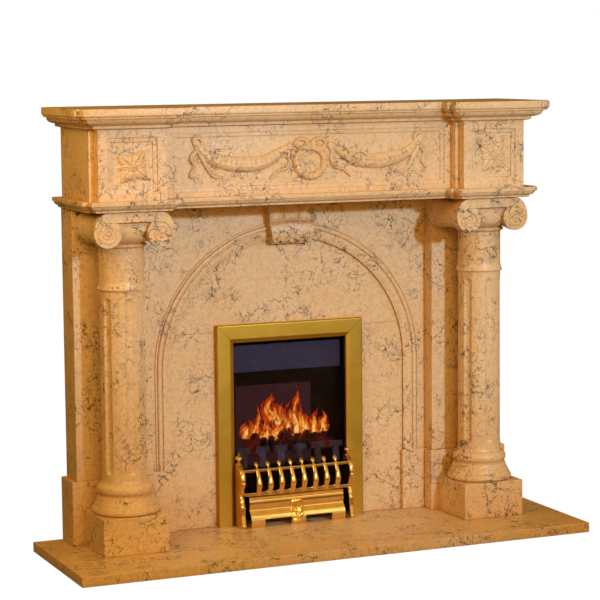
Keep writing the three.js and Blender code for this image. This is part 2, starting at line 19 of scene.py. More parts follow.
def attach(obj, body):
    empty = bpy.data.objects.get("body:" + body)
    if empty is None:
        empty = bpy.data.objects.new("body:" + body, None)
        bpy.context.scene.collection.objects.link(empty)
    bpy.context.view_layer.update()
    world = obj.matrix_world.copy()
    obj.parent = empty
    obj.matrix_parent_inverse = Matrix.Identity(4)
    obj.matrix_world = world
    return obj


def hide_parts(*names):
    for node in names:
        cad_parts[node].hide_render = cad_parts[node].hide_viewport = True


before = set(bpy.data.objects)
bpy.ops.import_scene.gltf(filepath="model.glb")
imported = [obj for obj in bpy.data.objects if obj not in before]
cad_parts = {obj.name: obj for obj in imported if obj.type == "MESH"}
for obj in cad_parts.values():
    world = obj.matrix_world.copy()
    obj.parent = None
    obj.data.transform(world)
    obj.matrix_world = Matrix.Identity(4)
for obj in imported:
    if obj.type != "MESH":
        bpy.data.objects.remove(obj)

LOG = logging.getLogger("mantel")
MM = 0.001
WALL_Y = 228.0
FLOOR_TOP = 28.0
JOINT = 0.3
BAY_HALF = 436.0
PANEL_FRONT = 44.0
COLUMN_X = 548.0
SHARP_ANGLE = math.radians(38)
BALL_SIDES = 18
WHITE = (1.0, 1.0, 1.0, 1.0)

Pair = tuple[float, float]
Spot = tuple[float, float, float]
Ring = list[Vector]
Colour = tuple[float, float, float]


class Side(Enum):
    """The two sides of the mantel, as seen from the room."""

    LEFT = -1
    RIGHT = 1

    @property
    def label(self) -> str:
        """Ending of the names of pieces on this side."""
        return self.name.lower()

    def span(self, inner: float, outer: float) -> Pair:
        """Left and right ends of a stretch, from its ends' distances from the middle."""
        left, right = sorted((self.value * inner, self.value * outer))
        return left, right


class Slot(Enum):
    """Material slots of the part's record."""

    STONE = "stone"
    SATIN_BRASS = "satin_brass"
    POLISHED_BRASS = "polished_brass"
    GLASS = "fire_glass"
    BLACK_METAL = "black_metal"


@dataclass(frozen=True)
class Finish:
    """A material, and the slot of the record that it fills, if it fills one."""

    material: bpy.types.Material
    slot: Slot | None = None

    def mark(self, made: bpy.types.Object) -> None:
        """Does nothing: no slot is named on the object."""


@dataclass(frozen=True)
class Levels:
    """Heights above the floor that several pieces share."""

    column_plinth_top: float = 132.0
    base_top: float = 216.0
    pedestal_top: float = 207.0
    opening_top: float = 590.0
    arch_spring: float = 489.0
    shaft_top: float = 858.0
    bed_bottom: float = 961.0
    frieze_bottom: float = 991.0
    frieze_top: float = 1182.0
    shelf_top: float = 1238.0


LEVELS = Levels()


def at(x: float, out: float, z: float) -> Vector:
    """Point in metres from its place across, out from the wall and up, in millimetres."""
    return Vector((x * MM, (WALL_Y - out) * MM, z * MM))


def smooth_line(points: Sequence[Sequence[float]], steps: int) -> list[tuple[float, ...]]:
    """Points along a smooth curve through the given ones.

    Args:
        points: Points that the curve passes, of any number of coordinates.
        steps: Steps between one given point and the next.

    Returns:
        The points of the curve, the first and last as given.
    """
    knots = [np.array(point, float) for point in points]
    knots = [2 * knots[0] - knots[1], *knots, 2 * knots[-1] - knots[-2]]
    line: list[tuple[float, ...]] = []
    for before, start, end, after in zip(knots, knots[1:], knots[2:], knots[3:]):
        for step in range(steps):
            t = step / steps
            lead = start * 2 + (end - before) * t
            bend = (before * 2 - start * 5 + end * 4 - after) * t**2
            turn = (start * 3 - before - end * 3 + after) * t**3
            line.append(tuple((lead + bend + turn) / 2))
    line.append(tuple(knots[-2]))
    return line


def spread(start: float, end: float, count: int) -> list[float]:
    """Evenly spaced numbers from start to end, both included."""
    return [start + (end - start) * i / (count - 1) for i in range(count)]


def full_turn(count: int) -> list[float]:
    """Evenly spaced angles of one full turn, from nought on."""
    return [2 * math.pi * i / count for i in range(count)]


class Shape:
    """Points and faces of one piece, which may be made of several closed bodies."""

    def __init__(self) -> None:
        """Starts with no points."""
        self.points: list[Vector] = []
        self.faces: list[tuple[int, ...]] = []

    def loft(self, rings: Sequence[Ring]) -> None:
        """Adds a closed body through equal rings of points, capped at both ends.

        Args:
            rings: Rings with the same number of points each.
        """
        first = len(self.points)
        count = len(rings[0])
        for ring in rings:
            self.points.extend(ring)
        last = first + (len(rings) - 1) * count
        for low in range(first, last, count):
            high = low + count
            for i in range(count):
                j = (i + 1) % count
                self.faces.append((low + i, low + j, high + j, high + i))
        self.faces.append(tuple(reversed(range(first, first + count))))
        self.faces.append(tuple(range(last, last + count)))

    def turned(self, profile: Sequence[Sequence[float]], x: float, out: float, sides: int) -> None:
        """Adds a turned body about a vertical axis.

        Args:
            profile: Radius and height pairs.
            x: Place of the axis across.
            out: How far out the axis stands.
            sides: Sides of the round.
        """
        turns = full_turn(sides)
        self.loft([[at(x + r * math.cos(a), out + r * math.sin(a), z) for a in turns] for r, z in profile])

    def block(self, low: Sequence[float], high: Sequence[float], edge: float) -> None:
        """Adds a slab with rounded edges.

        Args:
            low: Lowest corner, as across, out and up.
            high: Highest corner.
            edge: Radius of the rounded edges.
        """
        mesh = bmesh.new()
        bmesh.ops.create_cube(mesh, size=1.0)
        middle = [(a + b) / 2 for a, b in zip(low, high)]
        extent = [b - a for a, b in zip(low, high)]
        for vertex in mesh.verts:
            vertex.co = Vector([m + e * c for m, e, c in zip(middle, extent, vertex.co)])
        bmesh.ops.bevel(mesh, geom=mesh.edges[:], offset=edge, segments=3, profile=0.5, affect="EDGES")
        mesh.verts.index_update()
        first = len(self.points)
        self.points.extend(at(*vertex.co) for vertex in mesh.verts)
        self.faces.extend(tuple(first + v.index for v in face.verts) for face in mesh.faces)
        mesh.free()

    def strand(
        self,
        line: Sequence[Sequence[float]],
        sides: int,
        half_width: Callable[[float], float],
        height: Callable[[float], float],
    ) -> None:
        """Adds a rounded strand along a line of points, each across, out and up.

        Args:
            line: Points that the strand's middle passes.
            sides: Sides of its section.
            half_width: Half of its width in the plane of the wall, by its share of the length.
            height: Half of its depth out from the wall, by its share of the length.
        """
        rings: list[Ring] = []
        last = len(line) - 1
        for i, (x, out, z) in enumerate(line):
            before, after = line[max(0, i - 1)], line[min(last, i + 1)]
            along = Vector((after[0] - before[0], after[2] - before[2])).normalized()
            ring: Ring = []
            for angle in full_turn(sides):
                across = half_width(i / last) * math.cos(angle)
                lift = height(i / last) * math.sin(angle)
                ring.append(at(x - along.y * across, out + lift, z + along.x * across))
            rings.append(ring)
        self.loft(rings)

    def ball(
        self,
        center: Sequence[float],
        radii: Sequence[float],
        rows: int,
        swell: Callable[[float, float], float] = lambda polar, turn: 1.0,
    ) -> None:
        """Adds a ball or a lump.

        Args:
            center: Its middle, as across, out and up.
            radii: Its radii in the same order.
            rows: Steps from its top to its foot.
            swell: Its swelling across and up, by the angle from its top and the angle round it.
        """
        rings: list[Ring] = []
        for i in range(1, rows):
            polar = math.pi * i / rows
            ring: Ring = []
            for turn in full_turn(BALL_SIDES):
                size = swell(polar, turn)
                x = center[0] + radii[0] * size * math.sin(polar) * math.cos(turn)
                out = center[1] + radii[1] * math.sin(polar) * math.sin(turn)
                ring.append(at(x, out, center[2] + radii[2] * size * math.cos(polar)))
            rings.append(ring)
        self.loft(rings)

    def piece(self, name: str, finish: Finish, *nodes: str) -> None:
        """Makes the object, rides it on the part and lets it stand for nodes of the part.

        Args:
            name: Name of the piece.
            finish: Its material and slot.
            nodes: Nodes of the part that it stands for.
        """
        mesh = bpy.data.meshes.new(name)
        mesh.from_pydata(self.points, [], self.faces)
        work = bmesh.new()
        work.from_mesh(mesh)
        bmesh.ops.recalc_face_normals(work, faces=work.faces[:])
        work.to_mesh(mesh)
        work.free()
        mesh.shade_smooth()
        mesh.set_sharp_from_angle(angle=SHARP_ANGLE)
        mesh.materials.append(finish.material)
        made = bpy.data.objects.new(name, mesh)
        bpy.context.scene.collection.objects.link(made)
        made.modifiers.new("even_shading", "WEIGHTED_NORMAL").keep_sharp = True
        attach(made, "root")
        if nodes:
            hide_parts(*nodes)
        finish.mark(made)
        LOG.info("piece %s: %d faces", name, len(mesh.polygons))


class Relief:
    """Carved face: a grid of heights above a ground, raised by leaves, fruit and ribbons."""

    def __init__(self, xs: Sequence[float], zs: Sequence[float]) -> None:
        """Starts a flat face.

        Args:
            xs: Places of the grid's lines across.
            zs: Heights of the grid's lines.
        """
        self.xs = np.array(sorted(xs))
        self.zs = np.array(sorted(zs))
        self.x, self.z = np.meshgrid(self.xs, self.zs, indexing="ij")
        self.ground = np.zeros_like(self.x)
        self.carving = np.zeros_like(self.x)

    def raise_to(self, height: np.ndarray) -> None:
        """Raises the carving where the given heights are above it."""
        self.carving = np.maximum(self.carving, height)

    def sink(self, low: Pair, high: Pair, steps: Sequence[Pair]) -> None:
        """Sinks a rectangular field with a stepped border.

        Args:
            low: Lower left corner of the field's outer edge.
            high: Upper right corner.
            steps: Distances in from the edge and depths there.
        """
        inside = np.minimum.reduce([self.x - low[0], high[0] - self.x, self.z - low[1], high[1] - self.z])
        distances, depths = zip(*steps)
        self.ground = self.ground - np.where(inside > 0, np.interp(inside, distances, depths), 0.0)

    def fruit(self, center: Pair, radii: Pair, turn: float, height: float) -> None:
        """Raises a rounded fruit or petal.

        Args:
            center: Its middle.
            radii: Its radii along and across.
            turn: Direction of its length.
            height: Its greatest height.
        """
        dx, dz = self.x - center[0], self.z - center[1]
        along = (dx * math.cos(turn) + dz * math.sin(turn)) / radii[0]
        across = (dz * math.cos(turn) - dx * math.sin(turn)) / radii[1]
        self.raise_to(height * np.sqrt(np.clip(1 - along**2 - across**2, 0, 1)))

    def leaf(self, root: Pair, turn: float, length: float, half_width: float, height: float) -> None:
        """Raises a pointed leaf with a sunk rib and side veins.

        Args:
            root: Where the leaf springs from.
            turn: Direction of its tip.
            length: Its length.
            half_width: Half of its greatest width.
            height: Its greatest height.
        """
        dx, dz = self.x - root[0], self.z - root[1]
        along = (dx * math.cos(turn) + dz * math.sin(turn)) / length
        across = dz * math.cos(turn) - dx * math.sin(turn)
        inside = np.clip(along, 1e-6, 1)
        edge = half_width * np.sin(np.pi * inside**0.75) ** 0.8 + 1e-6
        share = np.abs(across) / edge
        shown = (along > 0) & (along < 1) & (share < 1)
        body = np.sqrt(np.clip(1 - share**2, 0, 1)) * (0.55 + 0.45 * np.sin(np.pi * inside))
        rib = 0.35 * np.exp(-((across / 1.6) ** 2))
        veins = 0.12 * np.cos(2 * np.pi * (inside * 5 - share * 0.8))
        self.raise_to(np.where(shown, height * np.clip(body - rib + veins * share, 0, 1.2), 0))

    def nearest(self, line: Sequence[Sequence[float]]) -> tuple[np.ndarray, np.ndarray, float]:
        """Where every point of the grid lies beside a line.

        Args:
            line: Points across and up that the line passes.

        Returns:
            Distances from the line, shares of its length at the nearest points, and its length.
        """
        distance = np.full_like(self.x, np.inf)
        along = np.zeros_like(self.x)
        length = 0.0
        for (ax, az), (bx, bz) in zip(line, line[1:]):
            dx, dz = bx - ax, bz - az
            run = math.hypot(dx, dz) + 1e-9
            share = np.clip(((self.x - ax) * dx + (self.z - az) * dz) / run**2, 0, 1)
            gap = np.hypot(self.x - ax - share * dx, self.z - az - share * dz)
            along = np.where(gap < distance, length + share * run, along)
            distance = np.minimum(distance, gap)
            length += run
        return distance, along / length, length

    def ribbon(self, points: Sequence[Pair], half_width: float, height: float) -> None:
        """Raises a ribbon with a sunk middle along a smooth line.

        Args:
            points: Points that its middle passes.
            half_width: Half of its width at the start.
            height: Its height.
        """
        width_lost = 0.55
        distance, share, _ = self.nearest(smooth_line(points, 6))
        across = distance / (half_width * (1 - width_lost * share))
        body = np.sqrt(np.clip(1 - across**2, 0, 1)) - 0.35 * np.exp(-((across / 0.35) ** 2))
        self.raise_to(height * np.clip(body, 0, 1))

    def garland(self, points: Sequence[Pair], half_width: float, height: float, slim: float) -> None:
        """Raises a rounded garland of overlapping leaves along a smooth line.

        Args:
            points: Points that its middle passes.
            half_width: Half of its width at its fullest.
            height: Its height at its fullest.
            slim: Share of its width that is left at its ends.
        """
        leaf_pitch = 15.0
        distance, share, length = self.nearest(smooth_line(points, 10))
        swell = slim + (1 - slim) * np.sin(np.pi * share) ** 0.8
        across = distance / (half_width * swell)
        body = np.sqrt(np.clip(1 - across**2, 0, 1))
        overlap = (share * length / leaf_pitch - 0.5 * across) % 1.0
        rib = 0.10 * np.exp(-((distance / 2.2) ** 2))
        self.raise_to(height * np.sqrt(swell) * body * np.clip(0.80 + 0.20 * overlap - rib, 0, 1))

    def slab(self, shape: Shape, back: float, front: float) -> None:
        """Adds the closed slab that carries the carved face.

        Args:
            shape: Shape that receives the slab.
            back: How far out its back lies.
            front: How far out its uncut face lies.
        """
        heights = front + self.ground + self.carving
        rows, columns = heights.shape
        first = len(shape.points)
        for i in range(rows):
            for k in range(columns):
                shape.points.append(at(self.xs[i], heights[i, k], self.zs[k]))
        for i in range(rows - 1):
            for k in range(columns - 1):
                corner = first + i * columns + k
                shape.faces.append((corner, corner + columns, corner + columns + 1, corner + 1))
        rim = [i * columns for i in range(rows)]
        rim += [(rows - 1) * columns + k for k in range(1, columns)]
        rim += [i * columns + columns - 1 for i in range(rows - 2, -1, -1)]
        rim += [k for k in range(columns - 2, 0, -1)]
        behind = len(shape.points)
        for index in rim:
            i, k = divmod(index, columns)
            shape.points.append(at(self.xs[i], back, self.zs[k]))
        for i, index in enumerate(rim):
            j = (i + 1) % len(rim)
            shape.faces.append((first + index, behind + i, behind + j, first + rim[j]))
        shape.faces.append(tuple(range(behind, behind + len(rim))))


class Field:
    """A value that varies over a surface: one socket of a shader, with arithmetic."""

    def __init__(self, graph: "Graph", socket: bpy.types.NodeSocket) -> None:
        """Wraps a socket of the graph's shader."""
        self.graph = graph
        self.socket = socket

    def __add__(self, other: "Field | float") -> "Field":
        """Sum."""
        return self.graph.math("ADD", self, other)

    __radd__ = __add__

    def __sub__(self, other: "Field | float") -> "Field":
        """Difference."""
        return self.graph.math("SUBTRACT", self, other)

    def __rsub__(self, other: float) -> "Field":
        """Difference from a number."""
        return self.graph.math("SUBTRACT", other, self)

    def __mul__(self, other: "Field | float") -> "Field":
        """Product."""
        return self.graph.math("MULTIPLY", self, other)

    __rmul__ = __mul__


class Graph:
    """Nodes of a material or of the world, built one by one."""

    def __init__(self, owner: bpy.types.Material | bpy.types.World) -> None:
        """Starts with nothing but an output.

        Args:
            owner: Material or world that the nodes belong to.
        """
        owner.use_nodes = True
        self.owner = owner
        self.tree = owner.node_tree
        self.tree.nodes.clear()
        kind = "World" if isinstance(owner, bpy.types.World) else "Material"
        self.output = self.tree.nodes.new(f"ShaderNodeOutput{kind}")

    def node(
        self,
        kind: str,
        settings: dict[str, Any] | None = None,
        inputs: dict[str | int, Any] | None = None,
        output: str | int = 0,
    ) -> Field:
        """Adds a node.

        Args:
            kind: The node's type.
            settings: Its settings, such as a Math node's operation, set first.
            inputs: Values or fields for its sockets, by name or number.
            output: The socket to return.

        Returns:
            The chosen output as a field.
        """
        made = self.tree.nodes.new(kind)
        for key, value in (settings or {}).items():
            setattr(made, key, value)
        for key, value in (inputs or {}).items():
            if isinstance(value, Field):
                self.tree.links.new(value.socket, made.inputs[key])
            else:
                made.inputs[key].default_value = value
        return Field(self, made.outputs[output])

    def math(self, operation: str, first: Field | float, second: Field | float) -> Field:
        """Adds a Math node for an expression."""
        return self.node("ShaderNodeMath", {"operation": operation}, {0: first, 1: second})

    def place(self) -> Field:
        """Place on the part, in metres."""
        return self.node("ShaderNodeTexCoord", output="Object")

    def noise(self, place: Field, scale: float, detail: float = 3.0, distortion: float = 0.0) -> Field:
        """Cloudy value about one half."""
        inputs = {"Vector": place, "Scale": scale, "Detail": detail, "Distortion": distortion}
        return self.node("ShaderNodeTexNoise", {}, inputs, "Fac")

    def shift(self, place: Field, amount: Sequence[float]) -> Field:
        """A place moved by a fixed amount, so that two noises differ."""
        return self.node("ShaderNodeVectorMath", {"operation": "ADD"}, {0: place, 1: tuple(amount)})

    def step(self, value: Field, low: float, high: float) -> Field:
        """Smooth step from 0 at low to 1 at high."""
        inputs = {"Value": value, "From Min": low, "From Max": high}
        return self.node("ShaderNodeMapRange", {"interpolation_type": "SMOOTHSTEP"}, inputs)

    def mix(self, share: Field, first: Field | Colour, second: Field | Colour) -> Field:
        """Colour between two others."""
        colours = [c if isinstance(c, Field) else (*c, 1.0) for c in (first, second)]
        return self.node("ShaderNodeMix", {"data_type": "RGBA"}, {0: share, 6: colours[0], 7: colours[1]}, 2)

    def bump(self, height: Field, strength: float, distance: float) -> Field:
        """Fine unevenness of a surface."""
        inputs = {"Strength": strength, "Distance": distance, "Height": height}
        return self.node("ShaderNodeBump", {}, inputs, "Normal")

    def end(self, surface: Field) -> None:
        """Ends the nodes with a surface."""
        self.tree.links.new(surface.socket, self.output.inputs["Surface"])

    def finish(self, inputs: dict[str, Any]) -> bpy.types.Material:
        """Ends a material with a Principled surface.

        Args:
            inputs: Values or fields for its sockets.

        Returns:
            The material.
        """
        self.end(self.node("ShaderNodeBsdfPrincipled", {}, inputs, "BSDF"))
        return self.owner


@dataclass(frozen=True)
class Marble:
    """Polished peach marble with clouds, painted shade of a deeper orange in its hollows, and a net of fine
    broken veinlets.
    """

    pale: Colour = (0.78, 0.535, 0.325)
    warm: Colour = (0.72, 0.435, 0.205)
    # Colour of the painted shade, mixed in where ambient occlusion finds hollows, creases and overhangs.
    deep: Colour = (0.62, 0.31, 0.07)
    vein: Colour = (0.095, 0.075, 0.068)
    haze: Colour = (0.34, 0.27, 0.22)
    roughness: float = 0.40
    refraction: float = 1.46
    # How far the ambient occlusion looks, and how much of the painted shade colour it mixes in.
    hollow_reach: float = 0.02
    hollow_share: float = 0.5

    def veinlets(self, graph: Graph, place: Field, scale: float, half_width: float, offset: float) -> Field:
        """Short curling lines.

        Args:
            graph: Shader that receives them.
            place: Place on the part.
            scale: How close they lie, per metre.
            half_width: Half of their width, in metres.
            offset: Shift that tells this set from others.

        Returns:
            One on a line and nought beside it.
        """
        moved = graph.shift(place, (offset, 2 * offset, -offset))
        waves = {"Vector": moved, "Scale": 1.4 * scale, "Detail": 3.0}
        drift = graph.node("ShaderNodeTexNoise", {}, waves, "Color")
        sway = {0: drift, 1: (1.3 / scale,) * 3, 2: moved}
        pushed = graph.node("ShaderNodeVectorMath", {"operation": "MULTIPLY_ADD"}, sway)
        cells = {"Vector": pushed, "Scale": scale}
        edge = graph.node("ShaderNodeTexVoronoi", {"feature": "DISTANCE_TO_EDGE"}, cells, "Distance")
        line = 1 - graph.step(edge, 0.3 * half_width * scale, half_width * scale)
        gaps = graph.noise(graph.shift(moved, (3.1, 0.0, 0.0)), 2.1 * scale, 2.0, 0.5)
        return line * graph.step(gaps, 0.45, 0.54)

    def material(self) -> bpy.types.Material:
        """Builds the marble.

        Returns:
            The material.
        """
        graph = Graph(bpy.data.materials.new("marble"))
        place = graph.place()
        clouds = graph.step(graph.noise(place, 3.2, 5.0, 0.7), 0.36, 0.68)
        cluster = graph.step(graph.noise(graph.shift(place, (7.0, 1.0, 4.0)), 8.5, 3.0, 0.8), 0.43, 0.58)
        strong = self.veinlets(graph, place, 15.0, 0.0021, 1.3) * (0.10 + 0.90 * cluster)
        fine = self.veinlets(graph, place, 29.0, 0.0016, 5.7) * (0.25 + 0.75 * cluster)
        specks = self.veinlets(graph, place, 62.0, 0.0011, 9.2) * (0.35 + 0.35 * cluster)
        drifts = graph.noise(graph.shift(place, (2.0, 8.0, 5.0)), 19.0, 4.0, 1.2)
        smoke = graph.step(drifts, 0.52, 0.70) * cluster
        # Painted shade: ambient occlusion darkens the colour towards the deep orange in hollows, creases and
        # under overhangs.
        reach = {"Distance": self.hollow_reach}
        hollow = graph.node("ShaderNodeAmbientOcclusion", {"samples": 6}, reach, "AO")
        painted_shade = 1 - graph.step(hollow, 0.30, 0.97)
        body = graph.mix(clouds * 0.6, self.pale, self.warm)
        mottle = graph.step(graph.noise(graph.shift(place, (1.0, 6.0, 3.0)), 70.0, 4.0, 0.6), 0.42, 0.66)
        body = graph.mix(mottle * 0.16, body, self.haze)
        # The painted shade is laid into the body colour here.
        body = graph.mix(painted_shade * self.hollow_share, body, self.deep)
        body = graph.mix(smoke * 0.4, body, self.haze)
        marks = graph.math("MAXIMUM", graph.math("MAXIMUM", strong * 0.92, fine * 0.85), specks * 0.7)
        colour = graph.mix(marks, body, self.vein)
        polish = self.roughness - 0.05 * clouds + 0.12 * marks
        pits = graph.noise(place, 420.0, 2.0) * 0.3 - marks * 0.7
        normal = graph.bump(pits, 0.08, 0.0006)
        inputs = {"Base Color": colour, "Roughness": polish, "Normal": normal, "IOR": self.refraction}
        return graph.finish(inputs)


@dataclass(frozen=True)
class Brass:
    """Brass, satin or polished, with faint handling marks."""

    name: str
    colour: Colour
    dull: Colour
    roughness: float
    grain: float

    def material(self) -> bpy.types.Material:
        """Builds the brass.

        Returns:
            The material.
        """
        graph = Graph(bpy.data.materials.new(self.name))
        place = graph.place()
        stretched = graph.node("ShaderNodeMapping", {}, {"Vector": place, "Scale": (1.0, 1.0, 0.06)})
        brushed = graph.noise(stretched, 900.0, 2.0)
        smears = graph.step(graph.noise(place, 26.0, 4.0, 0.6), 0.4, 0.7)
        colour = graph.mix(smears * 0.5, self.colour, self.dull)
        rough = self.roughness + 0.08 * smears + self.grain * (brushed - 0.5)
        normal = graph.bump(brushed, 0.6 * self.grain, 0.0002)
        inputs = {"Base Color": colour, "Metallic": 1.0, "Roughness": rough, "Normal": normal}
        return graph.finish(inputs)


@dataclass(frozen=True)
class SmokedGlass:
    """Clear pane with a light smoke tint."""

    tint: Colour = (0.84, 0.82, 0.86)
    refraction: float = 1.12

    def material(self) -> bpy.types.Material:
        """Builds the glass.

        Returns:
            The material.
        """
        graph = Graph(bpy.data.materials.new("smoked_glass"))
        inputs = {
            "Base Color": (*self.tint, 1.0),
            "Roughness": 0.0,
            "IOR": self.refraction,
            "Transmission Weight": 1.0,
        }
        return graph.finish(inputs)


@dataclass(frozen=True)
class Ember:
    """Dark coal or painted metal that may glow in patches: the coals and the flame screen with the fire's own
    glow, the hood and the grate with a painted bluish sheen.
    """

    name: str
    dark: Colour
    light: Colour
    glow: Colour = (0.0, 0.0, 0.0)
    strength: float = 0.0
    between: Colour = (0.0, 0.0, 0.0)
    shine: float = 0.15

    def material(self) -> bpy.types.Material:
        """Builds the dark finish.

        Returns:
            The material.
        """
        graph = Graph(bpy.data.materials.new(self.name))
        place = graph.place()
        patches = graph.step(graph.noise(place, 55.0, 4.0, 0.5), 0.35, 0.7)
        inputs: dict[str, Any] = {
            "Base Color": graph.mix(patches, self.dark, self.light),
            "Roughness": 0.75 - 0.2 * patches,
            "Specular IOR Level": self.shine,
            "Normal": graph.bump(graph.noise(place, 240.0, 4.0), 0.5, 0.002),
        }
        if self.strength > 0:
            # Patchy glow: the fire's own glow on the coals and the screen, a painted bluish sheen on the hood
            # and the grate.
            glow_patches = graph.step(graph.noise(graph.shift(place, (4.0, 0.0, 2.0)), 38.0, 3.0, 0.8), 0.38, 0.7)
            inputs["Emission Color"] = graph.mix(glow_patches, self.between, self.glow)
            inputs["Emission Strength"] = self.strength
        return graph.finish(inputs)


@dataclass(frozen=True)
class Flame:
    """One layer of the flames, which glows in streaks and thins out between them."""

    name: str
    dim: Colour
    bright: Colour
    strength: float
    thin: float

    def material(self) -> bpy.types.Material:
        """Builds the glow.

        Returns:
            The material.
        """
        graph = Graph(bpy.data.materials.new(self.name))
        drawn_up = graph.node("ShaderNodeMapping", {}, {"Vector": graph.place(), "Scale": (1.0, 1.0, 0.45)})
        streaks = graph.step(graph.noise(drawn_up, 85.0, 3.0, 0.9), 0.36, 0.64)
        inputs = {
            "Base Color": (0.0, 0.0, 0.0, 1.0),
            "Roughness": 1.0,
            "Specular IOR Level": 0.0,
            "Emission Color": graph.mix(streaks, self.dim, self.bright),
            "Emission Strength": self.strength,
            "Alpha": self.thin + (1 - self.thin) * streaks,
        }
        return graph.finish(inputs)


@dataclass(frozen=True)
class Finishes:
    """Every finish of the mantel."""

    marble: Finish
    satin: Finish
    polished: Finish
    glass: Finish
    black: Finish
    hood: Finish
    screen: Finish
    coal: Finish
    grate: Finish
    flame_edge: Finish
    flame_body: Finish
    flame_heart: Finish

    @classmethod
    def make(cls) -> "Finishes":
        """Builds all materials.

        Returns:
            The finishes.
        """
        # The bluish glow given to the hood and the grate is a painted sheen, standing in for light on their
        # dark metal.
        bluish_sheen, rosy, red = (0.075, 0.073, 0.15), (0.11, 0.03, 0.045), (0.55, 0.025, 0.008)
        hood_sheen_between, screen_between = (0.062, 0.056, 0.125), (0.09, 0.025, 0.038)
        satin = Brass("satin_brass", (0.56, 0.33, 0.046), (0.50, 0.285, 0.038), 0.40, 0.10)
        polished = Brass("polished_brass", (0.86, 0.62, 0.27), (0.74, 0.48, 0.17), 0.10, 0.03)
        black = Ember("black_metal", (0.007, 0.004, 0.005), (0.012, 0.006, 0.008))
        hood = Ember("fire_hood", (0.024, 0.022, 0.034), (0.028, 0.026, 0.04), bluish_sheen, 0.28, hood_sheen_between)
        screen = Ember("flame_screen", (0.02, 0.01, 0.013), (0.024, 0.012, 0.016), rosy, 0.23, screen_between)
        coal = Ember("coal", (0.008, 0.005, 0.006), (0.018, 0.012, 0.015), red, 0.16)
        grate = Ember("grate", (0.034, 0.029, 0.04), (0.065, 0.058, 0.076), bluish_sheen, 0.3)
        edge = Flame("flame_edge", (0.16, 0.006, 0.004), (0.62, 0.05, 0.006), 0.9, 0.0)
        body = Flame("flame_body", (0.66, 0.08, 0.006), (1.0, 0.33, 0.025), 0.95, 0.1)
        heart = Flame("flame_heart", (1.0, 0.34, 0.03), (1.0, 0.66, 0.16), 1.05, 0.15)
        return cls(
            marble=Finish(Marble().material(), Slot.STONE),
            satin=Finish(satin.material(), Slot.SATIN_BRASS),
            polished=Finish(polished.material(), Slot.POLISHED_BRASS),
            glass=Finish(SmokedGlass().material(), Slot.GLASS),
            black=Finish(black.material(), Slot.BLACK_METAL),
            hood=Finish(hood.material()),
            screen=Finish(screen.material()),
            coal=Finish(coal.material()),
            grate=Finish(grate.material()),
            flame_edge=Finish(edge.material()),
            flame_body=Finish(body.material()),
            flame_heart=Finish(heart.material()),
        )


@dataclass
class Slabs:
    """Hearth, back panel, plinths and pilasters: slabs with softened edges."""

    finishes: Finishes
    edge: float = 2.2
    hearth_half: float = 762.0
    hearth_depth: float = 456.0
    panel_half: float = 430.0
    panel_thick: float = PANEL_FRONT
    opening_half: float = 203.0
    arch_plinth_inner: float = 358.0
    arch_plinth_front: float = 60.0
    pilaster: Spot = (BAY_HALF, 660.0, 97.0)
    plinth: Spot = (430.0, 676.0, 105.0)
    column_x: float = COLUMN_X
    column_plinth_half: float = 94.5
    column_plinth_front: float = 276.0

    def slab(self, name: str, low: Sequence[float], high: Sequence[float]) -> None:
        """Makes one slab that stands for the node of its name.

        Args:
            name: Name of the node.
            low: Lowest corner, as across, out and up.
            high: Highest corner.
        """
        shape = Shape()
        shape.block(low, high, self.edge)
        shape.piece(f"{name}_stone", self.finishes.marble, name)

    def side_slab(self, name: str, side: Side, low: Sequence[float], high: Sequence[float]) -> None:
        """Makes one slab of a pair.

        Args:
            name: Name of the nodes, without their side.
            side: Side of the mantel.
            low: Lowest corner, its first number the inner face's distance from the middle.
            high: Highest corner, its first number the outer face's distance from the middle.
        """
        (inner, *low_rest), (outer, *high_rest) = low, high
        left, right = side.span(inner, outer)
        self.slab(f"{name}_{side.label}", (left, *low_rest), (right, *high_rest))

    def build(self) -> None:
        """Makes all slabs."""
        self.slab("hearth", (-self.hearth_half, 0, 0), (self.hearth_half, self.hearth_depth, FLOOR_TOP))
        header_low = (-self.panel_half, 0, LEVELS.opening_top)
        self.slab("back_panel_header", header_low, (self.panel_half, self.panel_thick, LEVELS.bed_bottom))
        for side in Side:
            self.side_slab(
                "back_panel",
                side,
                (self.opening_half, 0, FLOOR_TOP),
                (self.panel_half, self.panel_thick, LEVELS.opening_top),
            )
            self.side_slab(
                "arch_plinth",
                side,
                (self.arch_plinth_inner, self.panel_thick, FLOOR_TOP),
                (self.plinth[0], self.arch_plinth_front, LEVELS.pedestal_top),
            )
            inner, outer, front = self.pilaster
            foot = (inner, 0, LEVELS.pedestal_top)
            self.side_slab("pilaster", side, foot, (outer, front, LEVELS.bed_bottom))
            inner, outer, front = self.plinth
            foot = (inner, 0, FLOOR_TOP)
            self.side_slab("pilaster_plinth", side, foot, (outer, front, LEVELS.pedestal_top))
            self.side_slab(
                "column_plinth",
                side,
                (self.column_x - self.column_plinth_half, front, FLOOR_TOP),
                (self.column_x + self.column_plinth_half, self.column_plinth_front, LEVELS.column_plinth_top),
            )


